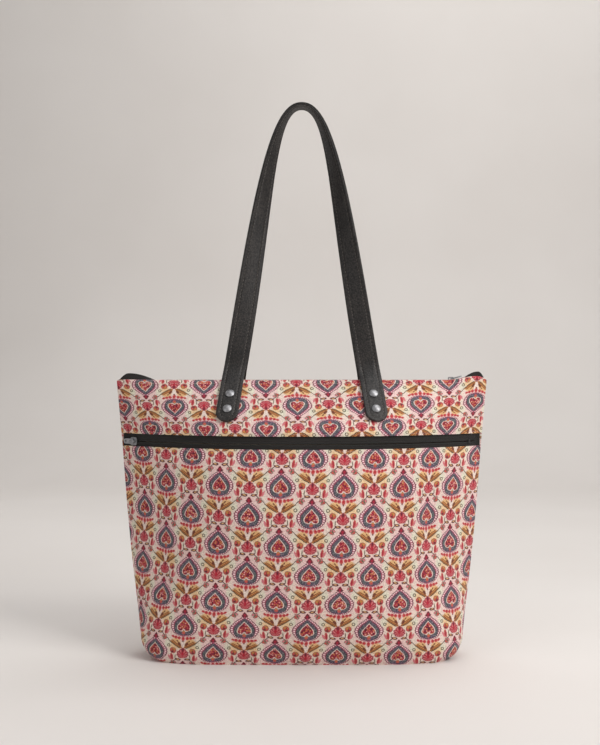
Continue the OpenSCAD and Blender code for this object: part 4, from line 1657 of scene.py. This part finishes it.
@dataclass
class PocketZip:
    """The pocket's zip: two woven tapes on a wide arc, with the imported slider, pull, stops and coils."""

    zip_z: float = 249.0
    radius: float = 335.80
    centre_y: float = 265.50
    end_x: float = 207.5
    seam_y: float = -1.7
    close_x: float = 199.0
    show_up: float = 9.0
    show_down: float = 5.5
    tuck: float = 4.0
    slit: float = 1.0
    close_run: float = 2.0
    tape_t: float = 0.8
    sewn_deep: float = 0.3
    sewn_at: float = 2.6
    sewn_w: float = 0.35
    rib_deep: float = 0.1
    rib_pitch: float = 1.5
    edge_deep: float = 0.35
    edge_w: float = 0.8
    deepest: float = 0.5
    least_flat: float = 0.01
    steps: int = 220
    ply: int = 40

    def tape(self, name: str, heights: Array, relief: Array) -> tuple[Piece, Array]:
        """Sweeps one tape along the arc.

        Args:
            name: The piece's name.
            heights: Heights across the tape, from the zip's line.
            relief: How far the face lies behind the tape's front at each height.

        Returns:
            The piece and its face's points.
        """
        turn = np.arcsin(np.linspace(-self.end_x, self.end_x, self.steps) / self.radius)

        def grid(depth: Array) -> Array:
            """Points at depths behind the tape's front.

            Args:
                depth: The depth at each height.

            Returns:
                A grid of points.
            """
            r = self.radius - depth[:, None]
            x = r * np.sin(turn)
            shut = np.sign(heights.mean()) * self.slit / 2 * ramp(np.abs(x) - self.close_x, self.close_run)
            arc = np.minimum(self.centre_y - r * np.cos(turn), self.seam_y + depth[:, None])
            return np.stack([x, arc, self.zip_z + heights[:, None] - shut], -1)
        outer = grid(relief)
        return sheet_piece(name, outer, grid(np.full_like(relief, self.tape_t))), outer

    def relief(self, from_slit: Array) -> Array:
        """How far a tape's face falls back: a sewn groove, woven ribs and a rounded edge.

        Args:
            from_slit: Distances from the slit.

        Returns:
            The depth at each.
        """
        sewn = self.sewn_deep * np.exp(-((from_slit - self.sewn_at) / self.sewn_w) ** 2)
        ribs = self.rib_deep * (1 - np.cos(2 * np.pi * from_slit / self.rib_pitch)) / 2
        edge = self.edge_deep * np.clip(1 - from_slit / self.edge_w, 0, 1) ** 2
        return np.clip(sewn + ribs + edge, 0, self.deepest)

    def build(self, look: ZipLook) -> None:
        """Args:
            look: The zip's materials.
        """
        half = self.slit / 2
        for name, node, low, high in (
                ("pocket_tape_upper", "pocket_zip_upper_tape", half, self.show_up + self.tuck),
                ("pocket_tape_lower", "pocket_zip_lower_tape", -self.show_down - self.tuck, -half)):
            heights = np.linspace(low, high, self.ply)
            piece, points = self.tape(name, heights, self.relief(np.abs(heights) - half))
            finish_piece(piece, look.tape, Slot.TAPE, node)
            flat = tuple(max(side, self.least_flat) for side in cut_size(points)[0])
        look.dress("pocket_zip")


@dataclass
class TopZip:
    """The top zip: two woven tapes under the hems that arch up at their ends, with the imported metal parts."""

    form: BagForm
    tape_z: float = 318.3
    tape_t: float = 0.8
    tape_in: float = 1.7
    gap: float = 0.5
    slit: float = 1.0
    end_x: float = 213.0
    arch_left: float = 168.0
    arch_right: float = 184.0
    peak_left: float = 201.5
    peak_right: float = 206.0
    high_left: float = 9.4
    high_right: float = 11.4
    fill: float = 0.8
    end_ease: float = 1.5
    least_arch: float = 0.4
    least_fold: float = 0.2
    steps: int = 240
    ply: int = 8

    def arch(self, x: Array) -> Array:
        """Height of the arches along the tape.

        Args:
            x: Places across the bag.

        Returns:
            The height at each.
        """
        start = np.where(x > 0, self.arch_right, self.arch_left)
        peak = np.where(x > 0, self.peak_right, self.peak_left)
        rise = np.sin(np.pi / 2 * ramp(np.abs(x) - start, peak - start))
        fall = np.cos(np.pi / 2 * ramp(np.abs(x) - peak, self.end_x + self.end_ease - peak))
        return np.where(x > 0, self.high_right, self.high_left) * rise * fall

    def section(self, x: float, under: float) -> Array:
        """The tape across its width, from the hem's fold to the slit.

        Args:
            x: Where along the tape.
            under: How far below the tape's face.

        Returns:
            Its points.
        """
        form = self.form
        top = form.band(np.array([form.bag_h]))[0]
        side = form.seam_bulk * self.tape_in
        fold = form.band(np.array([form.bag_h]), self.tape_in, side)[0]
        hem = np.array([top[0] - form.seam_bulk * form.cloth_t, top[1] - form.hem_w, 0, *top[3:]])
        y_fold = form.points(fold[None], np.array([x / fold[0]]))[0, 0, 1]
        y_hem = form.points(hem[None], np.array([x / hem[0]]))[0, 0, 1] + self.gap / 2
        y_slit = -self.slit / 2
        y_hem = min(y_hem, y_slit - self.least_arch)
        y_fold = min(y_fold, y_hem - self.least_fold)
        y_arch = (y_hem + y_slit) / 2
        inset = min(under / 2, (y_slit - y_arch) * self.fill)
        rise = float(self.arch(np.array([x]))[0])
        low = self.tape_z - under + float(form.ear_lift(np.array([x]), np.array([form.bag_h]))[0])
        high = max(low, self.tape_z - under + rise)
        corner = np.array([[y_fold, low], [y_hem + inset, low], [y_arch + inset, high], [y_slit, high]])
        place = np.linspace(0, 3, 3 * self.ply + 1)
        points = np.stack([np.interp(place, range(4), corner[:, k]) for k in range(2)], -1)
        return np.concatenate([np.full((len(points), 1), x), points], 1)

    def tape(self, name: str, flip: float) -> tuple[Piece, Array]:
        """Builds one tape.

        Args:
            name: The piece's name.
            flip: 1 for the front tape, -1 for the back one.

        Returns:
            The piece and its face's points.
        """
        ends = np.linspace(-self.end_x, self.end_x, self.steps)
        xs = np.unique(np.concatenate([ends, [-self.arch_left, self.arch_right]]))
        outer, inner = (np.array([self.section(x, under) for x in xs]) * (1, flip, 1) for under in (0.0, self.tape_t))
        return sheet_piece(name, outer, inner), outer

    def build(self, look: ZipLook) -> None:
        """Args:
            look: The zip's materials.
        """
        for side, flip in (("front", 1.0), ("back", -1.0)):
            piece, points = self.tape(f"top_tape_{side}", flip)
            finish_piece(piece, look.tape, Slot.TAPE, f"top_zip_{side}_tape")
            flat, area = cut_size(points.transpose(1, 0, 2))
        look.dress("top_zip")


@dataclass
class Handles:
    """Two stitched leather straps, each riveted to its side of the bag by round ends."""

    form: BagForm
    width: float = 25.0
    thick: float = 4.0
    gap: float = 0.4
    tab_x: float = 82.94
    tab_l: float = 47.0
    tab_lean: float = 6.5
    rivet_z: float = 302.0
    rivet_pitch: float = 16.5
    rise: float = 316.0
    back_extra: float = 7.0
    shoulder_r: float = 30.0
    leg_lean: float = 9.6
    leg_reach: float = 208.0
    bend_reach: float = 33.0
    crown_y: float = 13.8
    turn: float = 90.0
    turn_ease: float = 1.6
    edge_r: float = 1.0
    stitch_in: float = 4.5
    groove: float = 0.55
    groove_w: float = 0.8
    crown: float = 0.3
    stitch_up: float = 0.2
    face_steps: int = 37
    end_from: float = 6.0
    end_steps: int = 26
    tab_steps: int = 24
    shoulder_steps: int = 14
    leg_steps: int = 110
    sewn_from: float = 4.0
    sewn_steps: int = 16
    edge_high: tuple[float, ...] = (0.96, 0.84, 0.6, 0.32, 0.12, 0.0)
    edge_proud: tuple[float, ...] = (0.42, 0.8, 1.0, 0.94, 0.6, 0.4)

    def tab_axis(self, z: float) -> float:
        """Where the tab's middle line lies across the bag at a height."""
        return self.tab_x - math.tan(math.radians(self.tab_lean)) * (z - self.rivet_z + self.rivet_pitch)

    def tab_point(self, z: float) -> Array:
        """A point of the tab's middle line."""
        x = self.tab_axis(z)
        return self.form.band_point(x, z) + self.form.band_normal(x, z) * (self.gap + self.thick / 2)

    def tab_frame(self, z: float) -> tuple[Array, Array, Array]:
        """Middle, direction and face normal of the tab at a height."""
        return (self.tab_point(z), unit(self.tab_point(z + 1) - self.tab_point(z - 1)),
                self.form.band_normal(self.tab_axis(z), z))

    def frames(self, rise: float) -> list[tuple[Array, Array, Array, float, float]]:
        """Cross sections of the right half of a strap, from its round end to its middle.

        Args:
            rise: Height of the handle's middle above the top edge.

        Returns:
            Middle, direction, face normal, half width and distance past the round end's centre of each.
        """
        form, half = self.form, self.width / 2
        low = form.bag_h - self.tab_l
        straight = low + half * math.cos(form.band_lean)
        result = []
        for angle in np.radians(np.linspace(self.end_from, 90, self.end_steps)):
            z = straight + (low - straight) * math.cos(angle)
            result.append((*self.tab_frame(z), half * math.sin(angle), half * math.cos(angle)))
        result += [(*self.tab_frame(z), half, 0.0) for z in np.linspace(straight, form.bag_h, self.tab_steps)[1:]]
        foot, lean_out = self.tab_point(form.bag_h), math.tan(math.radians(self.leg_lean))

        def shoulder(lean: float) -> Array:
            """Middle of the strap where its lean has fallen to a value."""
            up = self.shoulder_r * (math.sin(form.band_lean) - math.sin(lean))
            return foot + (-up * lean_out, self.shoulder_r * (math.cos(lean) - math.cos(form.band_lean)), up)
        for lean in form.band_lean * np.linspace(1, 0, self.shoulder_steps)[1:]:
            along = unit(np.array([-lean_out * math.cos(lean), math.sin(lean), math.cos(lean)]))
            result.append((shoulder(lean), along, np.array([0, -math.cos(lean), math.sin(lean)]), half, 0.0))
        start, crown = shoulder(0.0), np.array([0, -self.crown_y, form.bag_h + rise])
        lean = math.radians(self.leg_lean)
        control = np.array([start, [start[0] - self.leg_reach * math.sin(lean), (start[1] - self.crown_y) / 2,
                                    start[2] + self.leg_reach * math.cos(lean)],
                            crown + (self.bend_reach, 0, 0), crown])
        places = np.linspace(0, 1, self.leg_steps + 1)[1:]
        for t, point, along in zip(places, *bezier(control, places)):
            front = unit(np.array([0, -1.0, 0]) + along * along[1])
            inwards = unit(np.array([-along[2], 0, along[0]]))
            turn = math.radians(self.turn * (1 - (1 - t) ** self.turn_ease))
            result.append((point, along, math.cos(turn) * front + math.sin(turn) * inwards, half, 0.0))
        return result

    def relief(self, across: Array, past: float) -> Array:
        """How far a strap's face stands over its nominal face: crowned, with a channel for the stitches.

        Args:
            across: Distances from the middle line.
            past: Distance past the round end's centre.

        Returns:
            The height over the nominal face.
        """
        reach = np.hypot(across, past)
        channel = self.groove * np.exp(-((reach - self.width / 2 + self.stitch_in) / self.groove_w) ** 2)
        return self.crown * (1 - np.clip(reach / (self.width / 2), 0, 1) ** 2) - self.crown - channel

    def ring(self, section: tuple[Array, Array, Array, float, float]) -> Array:
        """Points round one cross section.

        Args:
            section: The section's frame, half width and distance past the round end's centre.

        Returns:
            The points.
        """
        middle, along, face, half, past = section
        side = unit(np.cross(along, face))
        out = np.cross(side, along)
        edge = min(self.edge_r, half / 2)
        flat = np.linspace(-half + edge, half - edge, self.face_steps)
        top = self.thick / 2 + self.relief(flat, past)
        high, proud = np.array(self.edge_high), np.array(self.edge_proud)
        high, proud = np.concatenate([high, -high[-2::-1]]), np.concatenate([proud, proud[-2::-1]])
        round_x, round_z = half - edge * (1 - proud), min(top[0], top[-1]) * high
        x = np.concatenate([flat, round_x, flat[::-1], -round_x])
        z = np.concatenate([top, round_z, -top[::-1], -round_z])
        return middle + x[:, None] * side + z[:, None] * out

    def strap(self, name: str, rise: float, flip: float) -> Piece:
        """Sweeps one strap.

        Args:
            name: The piece's name.
            rise: Height of its middle above the top edge.
            flip: 1 for the front handle, -1 for the back one.

        Returns:
            The piece.
        """
        half = np.array([self.ring(section) for section in self.frames(rise)])
        rings = np.concatenate([half, (half * (-1, 1, 1))[-2::-1]]) * (1, flip, 1)
        grid = np.arange(rings.shape[0] * rings.shape[1]).reshape(rings.shape[:2])
        faces = [*quads(grid, True).tolist(), grid[0].tolist(), grid[-1, ::-1].tolist()]
        return new_mesh(name, rings.reshape(-1, 3), faces)

    def stitch_path(self, rise: float, edge: float, top: float) -> tuple[Array, Array]:
        """The line of stitches along one edge of one face, from the round end to the strap's middle.

        Args:
            rise: Height of the handle's middle above the top edge.
            edge: 1 or -1 for the edge.
            top: 1 for the outer face, -1 for the inner one.

        Returns:
            Points of the line and the normals there.
        """
        in_r = self.width / 2 - self.stitch_in
        depth = self.thick / 2 - self.groove - self.crown * (in_r / (self.width / 2)) ** 2 + self.stitch_up
        form = self.form
        straight = form.bag_h - self.tab_l + self.width / 2 * math.cos(form.band_lean)
        spots = []
        for angle in np.radians(np.linspace(self.sewn_from, 90, self.sewn_steps)):
            frame_at = self.tab_frame(straight - in_r * math.cos(angle) * math.cos(form.band_lean))
            spots.append((*frame_at, in_r * math.sin(angle)))
        spots += [(middle, along, face, in_r) for middle, along, face, half, past in self.frames(rise)
                  if past == 0.0 and half == self.width / 2]
        points, outs = [], []
        for middle, along, face, across in spots:
            side = unit(np.cross(along, face))
            out = np.cross(side, along)
            points.append(middle + edge * across * side + top * depth * out)
            outs.append(top * out)
        return np.array(points), np.array(outs)

    def stitching(self, name: str, rise: float, flip: float, stitches: Stitches) -> Piece:
        """Sews one strap along both edges of both faces.

        Args:
            name: The piece's name.
            rise: Height of the strap's middle above the top edge.
            flip: 1 for the front handle, -1 for the back one.
            stitches: The stitch to copy.

        Returns:
            The piece.
        """
        places = []
        for edge in (1, -1):
            for top in (1, -1):
                path, out = self.stitch_path(rise, edge, top)
                for mirror in (1, -1):
                    turn = np.array([mirror, flip, 1])
                    places += stitches.along(path * turn, out * turn)
        return stitches.piece(name, places)

    def build(self, leather: Material, thread: Material) -> None:
        """Builds and dresses both handles.

        Args:
            leather: The straps' material.
            thread: The sewing thread.
        """
        stitches = Stitches()
        for side, rise, flip in (("front", self.rise, 1.0), ("back", self.rise + self.back_extra, -1.0)):
            finish_piece(self.strap(f"{side}_strap", rise, flip), leather, Slot.LEATHER, f"{side}_handle")
            finish_piece(self.stitching(f"{side}_strap_stitches", rise, flip, stitches), thread, Slot.LEATHER)


@dataclass
class Rivets:
    """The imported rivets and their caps, in nickel."""

    nodes: tuple[str, ...] = ("front_rivets", "back_rivets", "front_rivet_caps", "back_rivet_caps")

    def build(self, metal: Material) -> None:
        """Dresses the rivets."""
        dress_node(metal, *self.nodes)


@dataclass(frozen=True)
class Lamp:
    """A soft square light: where it stands, what it points at, its side in metres, its watts and its colour."""

    name: str
    at: Place
    aim: Place
    size: float
    power: float
    colour: Colour

    def build(self) -> None:
        """Adds the light to the scene."""
        data = bpy.data.lights.new(self.name, "AREA")
        data.size, data.energy, data.color = self.size, self.power, self.colour
        lamp = bpy.data.objects.new(self.name, data)
        bpy.context.scene.collection.objects.link(lamp)
        lamp.location = self.at
        lamp.rotation_euler = (Vector(self.aim) - Vector(self.at)).to_track_quat("-Z", "Y").to_euler()


@dataclass
class Studio:
    """Floor and backdrop in one sweep, soft lights, and the camera at the photograph's view."""

    camera_at: Place = (-0.002, -1.220, 0.3285)
    lens: float = 50.5
    sensor: float = 36.0
    floor_w: float = 9.0
    floor_front: float = -3.0
    wall_y: float = 2.5
    wall_h: float = 2.6
    cove: float = 0.8
    cove_steps: int = 12
    sky: tuple[float, float, float, float] = (1.0, 0.98, 0.96, 1.0)
    sky_strength: float = 0.25
    lamps: tuple[Lamp, ...] = (
        Lamp("key", (1.5, -1.2, 1.5), (0, 0, 0.3), 1.0, 36, (1.0, 0.985, 0.965)),
        Lamp("fill", (-1.4, -1.4, 0.9), (0, 0, 0.35), 1.2, 6, (1.0, 0.99, 0.98)),
        Lamp("top", (0.3, -0.3, 1.9), (0, 0, 0.2), 1.2, 8, (1.0, 1.0, 1.0)),
        Lamp("behind", (-1.3, 1.3, 1.4), (0, 0, 0.3), 1.0, 5, (1.0, 0.99, 0.98)),
        Lamp("backdrop", (0.7, 0.9, 2.7), (0.3, 2.5, 0.9), 1.8, 28, (1.0, 0.985, 0.965)))

    def sweep(self, paint: Material) -> None:
        """Makes the floor that curves up into the backdrop.

        Args:
            paint: The floor's material.
        """
        bpy.ops.object.select_all(action="DESELECT")
        bpy.ops.mesh.primitive_plane_add(size=1.0)
        floor = bpy.context.object
        floor.name = "floor"
        bpy.ops.object.mode_set(mode="EDIT")
        bpy.ops.mesh.select_all(action="SELECT")
        deep = self.wall_y - self.cove - self.floor_front
        bpy.ops.transform.resize(value=(self.floor_w, deep, 1.0))
        bpy.ops.transform.translate(value=(0, self.floor_front + deep / 2, 0))
        bpy.ops.mesh.select_mode(type="EDGE")
        bpy.ops.mesh.select_all(action="DESELECT")
        bpy.ops.object.mode_set(mode="OBJECT")
        far = max(vertex.co.y for vertex in floor.data.vertices)
        for edge in floor.data.edges:
            edge.select = all(abs(floor.data.vertices[v].co.y - far) < 1e-4 for v in edge.vertices)
        bpy.ops.object.mode_set(mode="EDIT")
        for k in range(self.cove_steps):
            low, high = (math.pi / 2 * (k + step) / self.cove_steps for step in (0, 1))
            move = (0, self.cove * (math.sin(high) - math.sin(low)), self.cove * (math.cos(low) - math.cos(high)))
            bpy.ops.mesh.extrude_region_move(TRANSFORM_OT_translate={"value": move})
        bpy.ops.mesh.extrude_region_move(TRANSFORM_OT_translate={"value": (0, 0, self.wall_h)})
        bpy.ops.mesh.select_all(action="SELECT")
        bpy.ops.mesh.normals_make_consistent(inside=False)
        bpy.ops.object.mode_set(mode="OBJECT")
        bpy.ops.object.shade_smooth()
        floor.data.materials.append(paint)

    def build(self, paint: Material) -> None:
        """Sets up the stage, the lights and the camera.

        Args:
            paint: The floor's material.
        """
        scene = bpy.context.scene
        self.sweep(paint)
        world = bpy.data.worlds.new("studio")
        world.use_nodes = True
        sky = world.node_tree.nodes["Background"].inputs
        sky["Color"].default_value, sky["Strength"].default_value = self.sky, self.sky_strength
        scene.world = world
        for lamp in self.lamps:
            lamp.build()
        data = bpy.data.cameras.new("camera")
        data.lens, data.sensor_width, data.sensor_fit = self.lens, self.sensor, "AUTO"
        camera = bpy.data.objects.new("camera", data)
        camera.location = self.camera_at
        camera.rotation_euler = (math.pi / 2, 0, 0)
        scene.collection.objects.link(camera)
        scene.camera = camera
        scene.view_settings.view_transform = "Standard"


def main() -> None:
    """Builds the bag's pieces in order."""
    logging.basicConfig(level=logging.INFO, format="%(name)s: %(message)s")
    form = BagForm()
    metal = NickelPlate().material()
    zip_look = ZipLook(
        tape=WovenCloth("zip_tape", srgb(44, 41, 39), srgb(19, 18, 18), pitch=0.0009, relief=0.00012,
                        roughness=0.6, sheen=0.1, twill=1.0).material(),
        coil=NylonCoil().material(), metal=metal,
        stops=NickelPlate("dark_plate", srgb(92, 90, 90), srgb(58, 56, 56)).material())
    lining = WovenCloth("lining_cotton", srgb(214, 203, 186), srgb(188, 174, 156), pitch=0.0007, relief=0.00008,
                        roughness=0.8, sheen=0.15).material()
    black_thread = Thread("black_thread", srgb(112, 104, 98), srgb(46, 42, 40)).material()
    pale_thread = Thread("pale_thread", srgb(226, 198, 188), srgb(188, 152, 146)).material()
    Studio().build(StudioPaint().material())
    ClothShell(form).build(PrintedCloth().material(), pale_thread)
    InnerCloth(form).build(lining)
    PocketZip().build(zip_look)
    TopZip(form).build(zip_look)
    Handles(form).build(GrainedLeather().material(), black_thread)
    Rivets().build(metal)


if __name__ == "__main__":
    main()
